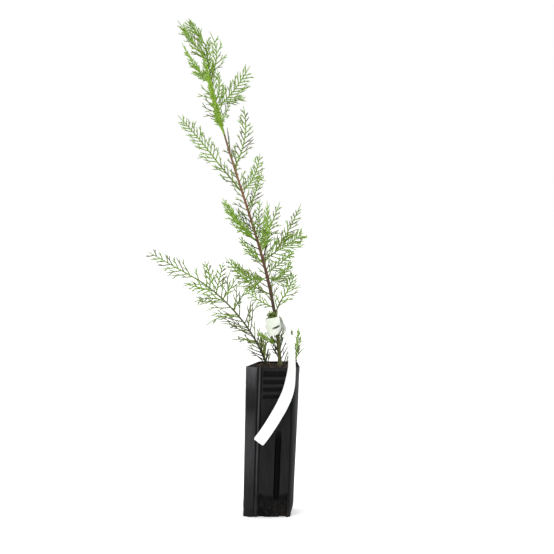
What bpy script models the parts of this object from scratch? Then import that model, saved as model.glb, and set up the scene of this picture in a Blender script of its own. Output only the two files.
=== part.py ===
# A young leyland cypress in a deep square tube pot, with a blank wrap-round label
# Metres, +Z up, +X to the viewer's right, -Y towards the viewer
# The origin is at the middle of the pot's flat underside

import math
import random
from collections import namedtuple

import bmesh
import bpy
import numpy as np
from mathutils import Matrix, Vector

MM = 0.001

# Pot: a thin tapered tube of moulded plastic, with a sunk panel and a groove in front and behind
POT_HEIGHT = 200 * MM
RIM_HALF = 29.2 * MM  # half the depth, front to back
BASE_HALF = 27.1 * MM
BASE_SHIFT, POT_LEAN = -2.3 * MM, 6.6 * MM  # the rim leans over to the right of the base
POT_WALL = 0.8 * MM
# Corners of its outline from above, as shares of the half depth, anticlockwise from the front
# wall's left end: the four walls, each with a cut corner, and the broad folded front left edge
FRONT_WALL = ((-0.69, -1.0), (1.02, -1.0))
RIGHT_WALL = ((1.22, -0.82), (1.12, 0.9))
BACK_WALL = ((1.03, 1.0), (-0.58, 1.0))
LEFT_WALL = ((-0.66, 0.92), (-1.22, -0.7))
FOLDED_EDGE = ((-1.18, -0.81), (-0.96, -0.95))
FOOT_TUCK, TUCK_HEIGHT = 3 * MM, 20 * MM  # how far the front right foot is pushed in, and its height
PANEL_MIDDLE, PANEL_HALF = 5.5 * MM, 18.5 * MM
PANEL_STEP = 1.5 * MM
PANEL_SUNK = 0.9 * MM
PANEL_LOW, PANEL_HIGH = 33 * MM, 156 * MM
PANEL_LOW_SLOPE, PANEL_HIGH_SLOPE = 6 * MM, 1.5 * MM
FOOT_SUNK = 3.2 * MM  # the panel's recess under its lower edge
FOOT_TURN = 4 * MM  # height over which the base comes out again to meet the ground
GROOVE_MIDDLE = 10.3 * MM
GROOVE_HALF_IN, GROOVE_HALF_OUT = 2.6 * MM, 4.4 * MM
GROOVE_SUNK = 5.0 * MM
GROOVE_TOP, GROOVE_SLOPE = 116 * MM, 12 * MM
RIB_COUNT = 3
RIB_LOW, RIB_PITCH = 165.6 * MM, 9.8 * MM
RIB_SUNK = 1.3 * MM
RIM_BAND = 4.6 * MM
NOTCH_WIDTH, NOTCH_HEIGHT, NOTCH_DEPTH = 11 * MM, 3.5 * MM, 5 * MM
NOTCH_FROM_MIDDLE = 14.5 * MM

# Compost, just below the rim and a little heaped in the middle
COMPOST_EDGE, COMPOST_TOP = 196.5 * MM, 198.2 * MM
COMPOST_PLATEAU = 0.72  # its share of the pot's width
SEAT = 0.3 * MM  # clearance between pieces that touch
GROOVE_SPARE = 0.6 * MM  # more room for the groove at the foot of the compost
BALL_NARROW, BALL_WIDE = 2 * MM, 8 * MM  # it widens from under the panel's lower edge to above it
BALL_GROOVE_DEEP, BALL_GROOVE_OUT = 10 * MM, 4 * MM  # its own groove runs out round the pot's
BALL_GROOVE_STEP = 1 * MM

# Trunk: control points of its curve, from the compost to the foot of the leader
TRUNK_FOOT = Vector((13.8, 0.0, 198.5)) * MM
TRUNK_LOW = Vector((7.5, 5.0, 357.0)) * MM
TRUNK_HIGH = Vector((-64.0, -7.0, 463.0)) * MM
TRUNK_TOP = Vector((-83.7, 3.0, 622.0)) * MM
TRUNK_FOOT_RADIUS, TRUNK_TOP_RADIUS = 2.4 * MM, 0.7 * MM
FLARE_RADIUS, FLARE_HEIGHT = 1.5 * MM, 9 * MM
TRUNK_SIDES, TRUNK_HOOPS = 8, 22
FLARE_HOOPS = [0.008, 0.016]  # more hoops in the root flare, as shares of the trunk's length

# The long bough that leaves the compost and arches to the left
BOUGH_FOOT = Vector((-3.8, -4.0, 198.5)) * MM
BOUGH_LOW = Vector((-14.0, -8.0, 236.0)) * MM
BOUGH_HIGH = Vector((-50.0, -12.0, 287.0)) * MM
BOUGH_TIP = Vector((-98.0, -11.0, 316.0)) * MM
BOUGH_FOOT_RADIUS, BOUGH_TIP_RADIUS = 1.5 * MM, 0.85 * MM

# Side boughs
SIDE_FOOT_RADIUS, SIDE_TIP_RADIUS = 1.1 * MM, 0.85 * MM
BOUGH_SIDES, LONG_BOUGH_HOOPS, SIDE_BOUGH_HOOPS = 6, 12, 4

# Label: a wide band looped round the stem, which runs on into a narrower tail
LABEL_HEIGHT = 252.5 * MM
LOOP_RADIUS = 11 * MM
LOOP_WIDTH, TAIL_WIDTH = 23 * MM, 15.6 * MM
LABEL_THICKNESS = 0.5 * MM
LOOP_STATIONS, TAIL_STATIONS = 15, 12
HEAD_LOWS = (0.32, 0.72)  # share of the width below the middle at its cut-off lower front corner
LOOP_START, LOOP_TURN = math.radians(-35), math.radians(-325)
LOOP_OPENS = 1.6 * MM  # the band's end lies this much further out than its start
LOOP_SHIFT = -2.4 * MM  # the band's middle lies this far to the left of the stem
LOOP_LEAN = 0.05  # how much further than the stem the band leans to the left
LOOP_NARROWING = 6  # the higher, the later the band narrows to the tail's width
FACET_SLACK = 0.45 * MM  # how far the band's flat facets cut inside its circle

# Foliage: every spray is a stalk with branchlets in one plane, and twiglets on them
STALK_FOOT_RADIUS, STALK_TIP_RADIUS = 1.25 * MM, 0.7 * MM
BRANCHLET_RADIUS, TWIGLET_RADIUS = 1.4 * MM, 1.2 * MM
TIP_SHARE = 0.35  # how far a twig's radius shrinks before its pointed tip
FLATNESS = 0.6  # thickness of a twig across its spray's plane, as a share of its width
BRANCHLET_PITCH, FEWEST_BRANCHLETS = 10.4 * MM, 3
STALK_PITCH = 13 * MM  # between the bends of a stalk
BRANCHLET_ANGLE = math.radians(46)
ANGLE_SPREAD = math.radians(6)
BARE_STALK, LEAFY_STALK = 0.16, 0.96  # shares of the stalk where the branchlets start and end
PLACE_SPREAD = 0.4  # how far a branchlet strays along the stalk, as a share of the pitch
PLANE_SPREAD = 0.22  # how far one leaves the spray's plane
FOOT_FULLNESS, FULLNESS_RISE, FULLNESS_FALL = 0.55, 1.6, 0.65  # outline of the spray
TWIGLET_ANGLE = math.radians(40)
TWIGLET_SHARES = (0.36, 0.64, 0.84)
TWIGLET_LENGTH, TWIGLET_GAIN = 0.22, 0.36  # at its branchlet's tip, and more towards the root
SHORTEST_TWIG = 3.8 * MM
BRANCHLET_SPREAD, TWIGLET_SPREAD = (0.9, 1.15), (0.9, 1.2)  # how much their lengths vary
TWIG_SIDES, STALK_SIDES = 3, 4
TWIG_LEAN, TWIG_BEND = 0.12, 0.04  # shares of its length that a twig turns to the spray's tip
STRAIGHT_BELOW = 10 * MM  # a shorter twig has no bend
ROOM = 0.45 * MM  # kept free between the twigs of two sprays
LIMB_BARS, STALK_BARS = 16, 8  # straight bars that stand for a limb and a stalk in that test
LABEL_ROOM, RIM_ROOM = 3 * MM, 2.5 * MM

TIP = None

Limb = namedtuple("Limb", "name curve foot_radius tip_radius")
Bough = namedtuple("Bough", "name foot tip sag")
Spray = namedtuple("Spray", "name limb foot tip sag sway breadth facing")

# Side boughs: the height of the foot on the trunk, the tip, and how far the middle hangs, in mm
BOUGHS = (
    Bough("high_left_bough", 431, (-66, -8, 465), 0),
    Bough("right_bough", 341, (10, -5, 352), 2),
    Bough("left_bough", 294, (-20, 9, 303), 1),
    Bough("lower_right_bough", 269, (16, -5, 287), 0),
    Bough("base_right_bough", 202, (36.5, 9, 204), 0),
)

# Sprays: what carries each, the height of its foot, its tip, how far its middle hangs and lies
# to the right, the length of its longest branchlets, all in mm, and the way its flat side
# faces, in degrees round from the viewer towards +X
SPRAYS = (
    Spray("leader_spray", "trunk", TIP, (-108, -4, 652), 0, 0, 21, 0),
    Spray("top_left_spray", "trunk", 599, (-119, -12, 651), 0, 0, 23, 10),
    Spray("top_front_spray", "trunk", 580, (-77, -16, 636), 0, 8, 21, -20),
    Spray("top_left_low_spray", "trunk", 572, (-113, -22, 622), 8, 0, 18, 15),
    Spray("top_back_spray", "trunk", 563, (-88, 42, 604), 4, 0, 17, 85),
    Spray("upper_front_spray", "trunk", 548, (-67, -34, 588), 3, 4, 18, -35),
    Spray("upper_right_spray", "trunk", 540, (-25, -12, 593), 6, 0, 28, 0),
    Spray("upper_back_spray", "trunk", 521, (-50, 38, 556), 5, 0, 18, 60),
    Spray("front_dense_spray", "trunk", 503, (-82, -40, 598), 8, 0, 19, 5),
    Spray("high_left_spray", "high_left_bough", TIP, (-119, -22, 529), -2, 0, 23, 0),
    Spray("high_left_back_spray", "trunk", 450, (-46, 42, 492), 5, 0, 18, 60),
    Spray("high_right_spray", "trunk", 462, (-34, -18, 541), 0, 8, 23, 0),
    Spray("high_back_spray", "trunk", 472, (-57, 48, 514), 5, 0, 20, 95),
    Spray("right_upper_spray", "trunk", 431, (-13, 18, 478), 6, 4, 23, -15),
    Spray("right_front_spray", "trunk", 405, (-9, -20, 458), 3, 0, 17, 10),
    Spray("left_dense_spray", "trunk", 366, (-61, -34, 422), 7, 0, 25, 10),
    Spray("left_back_spray", "trunk", 376, (-46, 44, 406), 5, 0, 20, 110),
    Spray("middle_up_spray", "trunk", 371, (-12, -28, 421), 2, 0, 18, 25),
    Spray("middle_front_spray", "trunk", 350, (-3, -36, 418), 5, 3, 19, -10),
    Spray("middle_right_spray", "trunk", 358, (14, 12, 416), 6, 0, 22, 0),
    Spray("right_low_spray", "right_bough", TIP, (45, -14, 377), 2, 0, 26, 0),
    Spray("right_high_spray", "right_bough", 350, (42, 14, 413), 4, 0, 19, -10),
    Spray("right_small_spray", "trunk", 322, (33, 24, 350), 2, 0, 18, 0),
    Spray("right_hanging_spray", "trunk", 315, (31, -22, 341), 11, 0, 20, -10),
    Spray("left_small_spray", "trunk", 336, (-41, -8, 370), 2, 0, 18, 0),
    Spray("left_low_spray", "trunk", 316, (-53, -22, 343), 12, 0, 25, 10),
    Spray("left_bough_spray", "left_bough", TIP, (-59, 18, 341), 3, 0, 18, -10),
    Spray("lower_right_spray", "lower_right_bough", TIP, (32, -12, 323), 0, 3, 21, 0),
    Spray("lower_left_spray", "trunk", 277, (-35, -26, 305), 3, 0, 16, 15),
    Spray("middle_back_spray", "trunk", 328, (-6, 50, 366), 5, 0, 21, 80),
    Spray("lower_back_spray", "trunk", 284, (2, 48, 318), 5, 0, 19, 100),
    Spray("loop_tuft", "trunk", 261, (-1, -10, 270), 0, 0, 10, 0),
    Spray("bough_tip_spray", "low_left_bough", TIP, (-160, -12, 351), 0, 0, 25, 0),
    Spray("bough_upper_spray_1", "low_left_bough", 303, (-86, -2, 338), 0, 3, 17, 0),
    Spray("bough_upper_spray_2", "low_left_bough", 296, (-61, 8, 336), 0, 0, 16, -15),
    Spray("bough_upper_spray_3", "low_left_bough", 288, (-43, -18, 317), 1, 0, 15, 15),
    Spray("bough_upper_spray_4", "low_left_bough", 274, (-31, 4, 300), 1, 0, 12, 0),
    Spray("bough_upper_spray_5", "low_left_bough", 250, (-24, -20, 281), 0, 0, 11, 10),
    Spray("bough_lower_spray_1", "low_left_bough", 300, (-108, -28, 309), 0, 0, 16, 0),
    Spray("bough_lower_spray_2", "low_left_bough", 287, (-101, 6, 282), -4, 0, 18, 0),
    Spray("bough_lower_spray_3", "low_left_bough", 265, (-83, -26, 255), -6, 0, 15, 10),
    Spray("bough_lower_spray_4", "low_left_bough", 246, (-63, 6, 254), -2, 0, 14, 0),
    Spray("bough_lower_spray_5", "low_left_bough", 231, (-50, -24, 236), -2, 0, 12, 5),
    Spray("base_left_spray", "low_left_bough", 211, (-17, 14, 241), 0, 0, 9, 20),
    Spray("base_tuft", "trunk", 229, (-16, -15, 243), 0, 0, 11, 0),
    Spray("base_right_spray_1", "base_right_bough", TIP, (39, 8, 249), 0, 0, 12, 0),
    Spray("base_right_spray_2", "base_right_bough", 203, (28.5, 6, 248), 0, 3, 9, 0),
    Spray("base_right_back_spray", "trunk", 236, (12, 40, 250), 3, 0, 15, 75),
    Spray("base_left_back_spray", "trunk", 216, (-6, 36, 248), 3, 0, 15, 110),
)

# The label's tail: where its middle runs, in mm, and how its width lies
TAIL_ROUTE = ((20.5, -16, 250), (26, -27, 240), (28.4, -34, 222), (28.9, -37, 199), (25.2, -37, 173),
              (18, -37, 154), (7.5, -38, 135), (-4.8, -40, 116), (-14.6, -41, 103))
TAIL_LIES = ((-0.25, 0.05, 0.97), (-0.5, 0.55, 0.65), (-0.55, 0.83, 0.1), (-0.62, 0.76, -0.05),
             (-0.86, 0.45, 0.15), (-0.92, 0.15, 0.4), (-0.86, -0.05, 0.52), (-0.83, -0.1, 0.57),
             (-0.82, -0.1, 0.6))


def clear_scene():
    for thing in list(bpy.data.objects):
        bpy.data.objects.remove(thing)


def finish(name, colour, roughness):
    # One plain material with the part's own colour
    material = bpy.data.materials.new(name)
    material.use_nodes = True
    shader = material.node_tree.nodes["Principled BSDF"]
    shader.inputs["Base Color"].default_value = (*colour, 1)
    shader.inputs["Roughness"].default_value = roughness
    shader.inputs["Metallic"].default_value = 0
    material.diffuse_color = (*colour, 1)
    return material


def loft(shape, rings):
    # Skin over rings of points; a ring of one point ends in a tip, any other end is capped
    rows = [[shape.verts.new(point) for point in ring] for ring in rings]
    for low, high in zip(rows, rows[1:]):
        count = max(len(low), len(high))
        for i in range(count):
            j = (i + 1) % count
            if len(high) == 1:
                shape.faces.new((low[i], low[j], high[0]))
            else:
                shape.faces.new((low[i], low[j], high[j], high[i]))
    shape.faces.new(rows[0][::-1])
    if len(rows[-1]) > 1:
        shape.faces.new(rows[-1])


def solid(name, shape, material, smooth_below=None):
    # Turns the modelled shape into an object of the scene
    mesh = bpy.data.meshes.new(name)
    shape.to_mesh(mesh)
    shape.free()
    mesh.materials.append(material)
    if smooth_below:
        mesh.shade_smooth()
        mesh.set_sharp_from_angle(angle=math.radians(smooth_below))
    thing = bpy.data.objects.new(name, mesh)
    bpy.context.collection.objects.link(thing)
    return thing


def apply_modifier(thing, modifier):
    with bpy.context.temp_override(object=thing, active_object=thing):
        bpy.ops.object.modifier_apply(modifier=modifier.name)


def on_curve(points, share):
    # Point at this share of the Bezier curve with these control points
    while len(points) > 1:
        points = [a.lerp(b, share) for a, b in zip(points, points[1:])]
    return points[0]


def along_curve(points, share):
    step = 0.01
    return (on_curve(points, share + step) - on_curve(points, share - step)).normalized()


def curve_length(points, steps=24):
    stops = [on_curve(points, i / steps) for i in range(steps + 1)]
    return sum((b - a).length for a, b in zip(stops, stops[1:]))


def share_at_height(points, height):
    # The limbs climb all the way, so halving the stretch finds the height
    low, high = 0.0, 1.0
    for _ in range(30):
        middle = (low + high) / 2
        if on_curve(points, middle).z < height:
            low = middle
        else:
            high = middle
    return low


def limb_radius(limb, share):
    radius = limb.foot_radius + (limb.tip_radius - limb.foot_radius) * share
    if limb.name == "trunk":
        climb = on_curve(limb.curve, share).z - limb.curve[0].z
        radius += FLARE_RADIUS * max(0.0, 1 - climb / FLARE_HEIGHT) ** 2
    return radius


def ring_round(centre, along, side, width, depth, count):
    # Points round a bar; side lies across it, and depth is measured square to side
    across = side - along * side.dot(along)
    across.normalize()
    up = along.cross(across)
    turns = [2 * math.pi * i / count for i in range(count)]
    return [centre + across * width * math.cos(a) + up * depth * math.sin(a) for a in turns]


# Pot and compost


def pot_half(height):
    return BASE_HALF + (RIM_HALF - BASE_HALF) * height / POT_HEIGHT


def pot_levels():
    # Height, how far the panel is sunk and how far the groove is sunk, from the base up
    levels = [
        (0, FOOT_SUNK / 2, FOOT_SUNK / 2),
        (FOOT_TURN, FOOT_SUNK, FOOT_SUNK),
        (PANEL_LOW - PANEL_LOW_SLOPE, FOOT_SUNK, GROOVE_SUNK),
        (PANEL_LOW, PANEL_SUNK, GROOVE_SUNK),
        (GROOVE_TOP - GROOVE_SLOPE, PANEL_SUNK, GROOVE_SUNK),
        (GROOVE_TOP, PANEL_SUNK, PANEL_SUNK),
        (PANEL_HIGH - PANEL_HIGH_SLOPE, PANEL_SUNK, PANEL_SUNK),
        (PANEL_HIGH, 0, 0),
    ]
    for rib in range(RIB_COUNT):
        crest = RIB_LOW + rib * RIB_PITCH
        levels.append((crest - RIB_PITCH / 2, RIB_SUNK, RIB_SUNK))
        levels.append((crest, 0, 0))
    levels.append((RIB_LOW + (RIB_COUNT - 0.5) * RIB_PITCH, RIB_SUNK, RIB_SUNK))
    levels.append((POT_HEIGHT - RIM_BAND, 0, 0))
    levels.append((POT_HEIGHT, 0, 0))
    return levels


def pot_corners(height, inset=0):
    # The outline's corners at this height, with every wall moved in by the inset
    walls = FRONT_WALL + RIGHT_WALL + BACK_WALL + LEFT_WALL + FOLDED_EDGE
    corners = [Vector(corner) * pot_half(height) for corner in walls]
    tuck = FOOT_TUCK * max(0.0, 1 - height / TUCK_HEIGHT)
    corners[1].x -= tuck / 2
    corners[2].x -= tuck
    moved = []
    for i, corner in enumerate(corners):
        before = (corner - corners[i - 1]).normalized().orthogonal()
        after = (corners[(i + 1) % len(corners)] - corner).normalized().orthogonal()
        moved.append(corner + (before + after) * inset / (1 + before.dot(after)))
    return moved


def pot_ring(height, panel, inset=0):
    # One level of the pot or of what fills it; the panel's points lie on the front and back walls,
    # each at a distance to the right of the pot's middle and sunk into its wall
    corners = pot_corners(height, inset)
    half = pot_half(height) - inset
    front = [Vector((across, sunk - half)) for across, sunk in panel]
    back = [Vector((point.x, -point.y)) for point in reversed(front)]
    line = corners[:1] + front + corners[1:5] + back + corners[5:]
    place = Vector((BASE_SHIFT + POT_LEAN * height / POT_HEIGHT, 0, height))
    return [place + point.to_3d() for point in line]


def pot_level(height, panel_sunk, groove_sunk):
    left, right = PANEL_MIDDLE - PANEL_HALF, PANEL_MIDDLE + PANEL_HALF
    return pot_ring(height, (
        (left - PANEL_STEP, 0), (left, panel_sunk),
        (GROOVE_MIDDLE - GROOVE_HALF_OUT, panel_sunk), (GROOVE_MIDDLE - GROOVE_HALF_IN, groove_sunk),
        (GROOVE_MIDDLE + GROOVE_HALF_IN, groove_sunk), (GROOVE_MIDDLE + GROOVE_HALF_OUT, panel_sunk),
        (right, panel_sunk), (right + PANEL_STEP, 0)))


def make_pot(material):
    shape = bmesh.new()
    loft(shape, [pot_level(*level) for level in pot_levels()])
    top = max(shape.faces, key=lambda face: face.calc_center_median().z)
    shape.faces.remove(top)
    pot = solid("pot", shape, material, 25)
    wall = pot.modifiers.new("wall", "SOLIDIFY")
    wall.thickness = POT_WALL
    wall.offset = -1
    wall.use_even_offset = False
    cut = pot.modifiers.new("drain_notches", "BOOLEAN")
    cut.operation = "DIFFERENCE"
    cut.object = make_notches()
    return pot


def make_notches():
    # Two notches in each lower edge of the pot, through the wall and the edge of the floor
    shape = bmesh.new()
    reach = 4 * MM
    corners = [corner.to_3d() + Vector((BASE_SHIFT, 0, 0)) for corner in pot_corners(0)]
    for wall in range(4):
        start, end = corners[2 * wall], corners[2 * wall + 1]
        along = (end - start).normalized()
        turn = Matrix.Rotation(math.atan2(along.y, along.x), 4, "Z")
        for side in (-1, 1):
            box = bmesh.ops.create_cube(shape, size=1)["verts"]
            spot = start.lerp(end, 0.5) + along * side * NOTCH_FROM_MIDDLE
            inwards = Matrix.Translation((0, (NOTCH_DEPTH - reach) / 2, 0))
            size = Matrix.Diagonal((NOTCH_WIDTH, NOTCH_DEPTH + reach, 2 * NOTCH_HEIGHT, 1))
            bmesh.ops.transform(shape, matrix=Matrix.Translation(spot) @ turn @ inwards @ size, verts=box)
    notches = solid("notch_cutter", shape, None)
    notches.hide_render = True
    notches.display_type = "WIRE"
    return notches


def make_root_ball(material):
    # Fills the pot up to the compost, clear of the wall's relief
    clear = POT_WALL + SEAT
    shape = bmesh.new()
    levels = (
        (clear, FOOT_SUNK + clear, GROOVE_SPARE),
        (PANEL_LOW - BALL_NARROW, FOOT_SUNK + clear, GROOVE_SUNK - FOOT_SUNK + GROOVE_SPARE),
        (PANEL_LOW + BALL_WIDE, RIB_SUNK + clear, GROOVE_SUNK),
        (GROOVE_TOP - BALL_GROOVE_DEEP, RIB_SUNK + clear, GROOVE_SUNK),
        (GROOVE_TOP + BALL_GROOVE_OUT, RIB_SUNK + clear, 0),
        (COMPOST_EDGE, RIB_SUNK + clear, 0),
    )
    rings = []
    open_half = GROOVE_HALF_OUT + clear
    for height, inset, groove in levels:
        left, right = GROOVE_MIDDLE - open_half, GROOVE_MIDDLE + open_half
        rings.append(pot_ring(height, (
            (left, 0), (left + BALL_GROOVE_STEP, groove),
            (right - BALL_GROOVE_STEP, groove), (right, 0)), inset))
    middle = Vector((BASE_SHIFT + POT_LEAN, 0, COMPOST_TOP))
    heap = [middle + (point - middle) * COMPOST_PLATEAU for point in rings[-1]]
    rings.append([Vector((point.x, point.y, COMPOST_TOP)) for point in heap])
    loft(shape, rings)
    return solid("root_ball", shape, material, 40)


# Trunk, boughs and label


def make_limb(limb, sides, rings, material):
    shape = bmesh.new()
    stops = [i / (rings - 1) for i in range(rings)]
    if limb.name == "trunk":
        stops = sorted(stops + FLARE_HOOPS)
    from_compost = limb.curve[0].z < COMPOST_TOP + 1 * MM
    hoops = []
    for share in stops:
        radius = limb_radius(limb, share)
        along = along_curve(limb.curve, share)
        if share == 0 and from_compost:
            along = Vector((0, 0, 1))
        centre = on_curve(limb.curve, share)
        hoops.append(ring_round(centre, along, Vector((1, 0, 0)), radius, radius, sides))
    loft(shape, hoops)
    return solid(limb.name, shape, material, 60)


def smooth_route(route, share):
    # Point at this share of a Catmull-Rom line through the route's points
    spot = share * (len(route) - 1)
    i = min(int(spot), len(route) - 2)
    t = spot - i
    a, b, c, d = (Vector(route[min(max(i + k, 0), len(route) - 1)]) for k in (-1, 0, 1, 2))
    square = (2 * a - 5 * b + 4 * c - d) * t**2
    cube = (3 * b - a - 3 * c + d) * t**3
    return (2 * b + (c - a) * t + square + cube) / 2


def label_stations(trunk):
    # Middle, width's direction and width of the strip, from the head of the loop to the tail's end
    share = share_at_height(trunk.curve, LABEL_HEIGHT)
    stem = on_curve(trunk.curve, share)
    up = (along_curve(trunk.curve, share) - Vector((LOOP_LEAN, 0, 0))).normalized()
    # The band's inner face rests against the back of the stem
    behind = (math.radians(-270) - LOOP_START) / LOOP_TURN
    back_radius = LOOP_RADIUS + LOOP_OPENS * (behind - 0.5) - LABEL_THICKNESS / 2
    reach = limb_radius(trunk, share) + SEAT + FACET_SLACK
    centre = stem + Vector((LOOP_SHIFT, reach - math.sqrt(back_radius**2 - LOOP_SHIFT**2), 0))
    stations = []
    for i in range(LOOP_STATIONS):
        turn = i / (LOOP_STATIONS - 1)
        angle = LOOP_START + LOOP_TURN * turn
        radius = LOOP_RADIUS + LOOP_OPENS * (turn - 0.5)
        out = Vector((math.cos(angle), math.sin(angle), 0))
        out -= up * out.dot(up)
        width = LOOP_WIDTH + (TAIL_WIDTH - LOOP_WIDTH) * turn**LOOP_NARROWING
        stations.append((centre + out * radius, up, width))
    last = stations[-1][0]
    route = [last / MM] + [Vector(point) for point in TAIL_ROUTE]
    lies = [up] + [Vector(lie) for lie in TAIL_LIES]
    for i in range(1, TAIL_STATIONS + 1):
        share = i / TAIL_STATIONS
        middle = smooth_route(route, share) * MM
        stations.append((middle, smooth_route(lies, share).normalized(), TAIL_WIDTH))
    return stations


def make_label(trunk, material):
    shape = bmesh.new()
    stations = label_stations(trunk)
    rings = []
    for i, (middle, lie, width) in enumerate(stations):
        before = stations[max(i - 1, 0)][0]
        after = stations[min(i + 1, len(stations) - 1)][0]
        along = (after - before).normalized()
        lie = (lie - along * lie.dot(along)).normalized()
        out = along.cross(lie) * LABEL_THICKNESS / 2
        edge = lie * width / 2
        low = middle - edge * (HEAD_LOWS[i] if i < len(HEAD_LOWS) else 1.0)
        rings.append([middle + edge + out, low + out, low - out, middle + edge - out])
    loft(shape, rings)
    return solid("label", shape, material, 40)


# Foliage


class Room:
    # Bars that already stand in the crown, each with its owner, so that a twig can keep clear

    def __init__(self):
        self.owners = []
        self.bars = []

    def add(self, owner, stops, radius):
        for a, b in zip(stops, stops[1:]):
            self.owners.append(owner)
            self.bars.append((*a, *b, radius))

    def is_free(self, owner, stops, radius):
        others = [bar for bar, name in zip(self.bars, self.owners) if name != owner]
        bars = np.array(others)
        start, run, girth = bars[:, :3], bars[:, 3:6] - bars[:, :3], bars[:, 6]
        length = (run**2).sum(1)
        for a, b in zip(stops, stops[1:]):
            for step in np.linspace(0, 1, 7):
                point = np.array(a.lerp(b, step))
                share = np.clip(((point - start) * run).sum(1) / length, 0, 1)
                gap = np.linalg.norm(start + run * share[:, None] - point, axis=1) - girth
                if gap.min() < radius + ROOM:
                    return False
        return True


def over_the_pot(point):
    # Whether a twig here is above the compost and clear of the pot's rim
    return point.z > POT_HEIGHT + RIM_ROOM


def foot_beside(limb, share, control, radius):
    # Where a bar that heads for the control point starts, a seat's width off the limb's bark
    axis = along_curve(limb.curve, share)
    centre = on_curve(limb.curve, share)
    out = control - centre
    out -= axis * out.dot(axis)
    out.normalize()
    foot = centre
    for _ in range(3):
        lift = abs((control - foot).normalized().dot(axis))
        foot = centre + out * (limb_radius(limb, share) + SEAT + radius * lift)
    return foot


def stalk_curve(spray, limb):
    # Control points of a spray's stalk, from just outside its limb to the spray's tip
    tip = Vector(spray.tip) * MM
    bow = Vector((spray.sway, 0, -spray.sag)) * MM
    if spray.foot is TIP:
        along = along_curve(limb.curve, 1)
        end = limb.curve[-1]
        control = end.lerp(tip, 0.5) + bow * 2
        lean = along.angle(control - end)
        return [end + along * (SEAT + STALK_FOOT_RADIUS * math.sin(lean)), control, tip]
    share = share_at_height(limb.curve, spray.foot * MM)
    control = on_curve(limb.curve, share).lerp(tip, 0.5) + bow * 2
    return [foot_beside(limb, share, control, STALK_FOOT_RADIUS), control, tip]


def twig(owner, room, root, direction, reach, along, radius):
    # Stops of one twig that bends a little towards the spray's tip, or nothing if it has no room
    tip = root + (direction + along * TWIG_LEAN) * reach
    stops = [root, tip]
    if reach > STRAIGHT_BELOW:
        stops.insert(1, root.lerp(tip, 0.5) + direction * reach * TWIG_BEND)
    if not all(over_the_pot(stop) for stop in stops):
        return None
    if not room.is_free(owner, stops, radius):
        return None
    room.add(owner, stops, radius)
    return stops


def grow_spray(spray, curve, room):
    # Branchlets on alternate sides of the stalk, and twiglets on alternate sides of each
    dice = random.Random(spray.name)
    length = curve_length(curve)
    chord = (curve[-1] - curve[0]).normalized()
    facing = math.radians(spray.facing)
    front = Vector((math.sin(facing), -math.cos(facing), 0))
    across = chord.cross(front).normalized()
    normal = across.cross(chord).normalized()
    branchlets = []
    twiglets = []
    leafy = LEAFY_STALK - BARE_STALK
    count = max(FEWEST_BRANCHLETS, round(length * leafy / BRANCHLET_PITCH))
    for i in range(count):
        share = BARE_STALK + leafy * (i + PLACE_SPREAD * dice.random()) / count
        side = 1 if i % 2 else -1
        along = along_curve(curve, share)
        angle = BRANCHLET_ANGLE + ANGLE_SPREAD * dice.uniform(-1, 1)
        tilt = normal * PLANE_SPREAD * dice.uniform(-1, 1)
        direction = (along * math.cos(angle) + across * side * math.sin(angle) + tilt).normalized()
        fullness = min(1.0, FOOT_FULLNESS + FULLNESS_RISE * share) * (1 - share) ** FULLNESS_FALL
        reach = max(SHORTEST_TWIG, spray.breadth * MM * fullness * dice.uniform(*BRANCHLET_SPREAD))
        stops = twig(spray.name, room, on_curve(curve, share), direction, reach, along, BRANCHLET_RADIUS)
        if not stops:
            continue
        branchlets.append(stops)
        for j, place in enumerate(TWIGLET_SHARES):
            turn = 1 if (j + i) % 2 else -1
            run = (stops[-1] - stops[0]).normalized()
            beside = run.cross(normal).normalized() * turn
            aim = run * math.cos(TWIGLET_ANGLE) + beside * math.sin(TWIGLET_ANGLE)
            small = reach * (TWIGLET_LENGTH + TWIGLET_GAIN * (1 - place))
            small *= dice.uniform(*TWIGLET_SPREAD)
            if small < SHORTEST_TWIG:
                continue
            root = stops[0].lerp(stops[-1], place)
            sprig = twig(spray.name, room, root, aim.normalized(), small, run, TWIGLET_RADIUS)
            if sprig:
                twiglets.append(sprig)
    return normal, branchlets, twiglets


def spike(stops, normal, radius):
    # A flat three-sided twig, closed at its root and pointed at its tip
    shape = bmesh.new()
    rings = []
    for i, stop in enumerate(stops[:-1]):
        along = (stops[i + 1] - stop).normalized()
        side = along.cross(normal).normalized()
        width = radius * (1 - (1 - TIP_SHARE) * i / (len(stops) - 1))
        rings.append(ring_round(stop, along, side, width, width * FLATNESS, TWIG_SIDES))
    rings.append([stops[-1]])
    loft(shape, rings)
    return shape


def make_spray(spray, curve, growth, material):
    normal, branchlets, twiglets = growth
    steps = max(3, round(curve_length(curve) / STALK_PITCH))
    stops = [on_curve(curve, i / steps) for i in range(steps + 1)]
    shape = bmesh.new()
    rings = []
    for i, stop in enumerate(stops[:-1]):
        along = along_curve(curve, i / steps)
        radius = STALK_FOOT_RADIUS + (STALK_TIP_RADIUS - STALK_FOOT_RADIUS) * i / steps
        rings.append(ring_round(stop, along, along.cross(normal), radius, radius, STALK_SIDES))
    rings.append([stops[-1]])
    loft(shape, rings)
    mass = solid(spray.name, shape, material)
    pieces = bpy.data.collections.new(spray.name + "_twigs")
    bpy.context.scene.collection.children.link(pieces)
    for stops in branchlets:
        pieces.objects.link(solid("twig", spike(stops, normal, BRANCHLET_RADIUS), material))
    for stops in twiglets:
        pieces.objects.link(solid("twig", spike(stops, normal, TWIGLET_RADIUS), material))
    fuse = mass.modifiers.new("fuse", "BOOLEAN")
    fuse.operation = "UNION"
    fuse.solver = "MANIFOLD"
    fuse.operand_type = "COLLECTION"
    fuse.collection = pieces
    apply_modifier(mass, fuse)
    for piece in list(pieces.objects):
        bpy.data.objects.remove(piece)
    bpy.data.collections.remove(pieces)
    return mass


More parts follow.
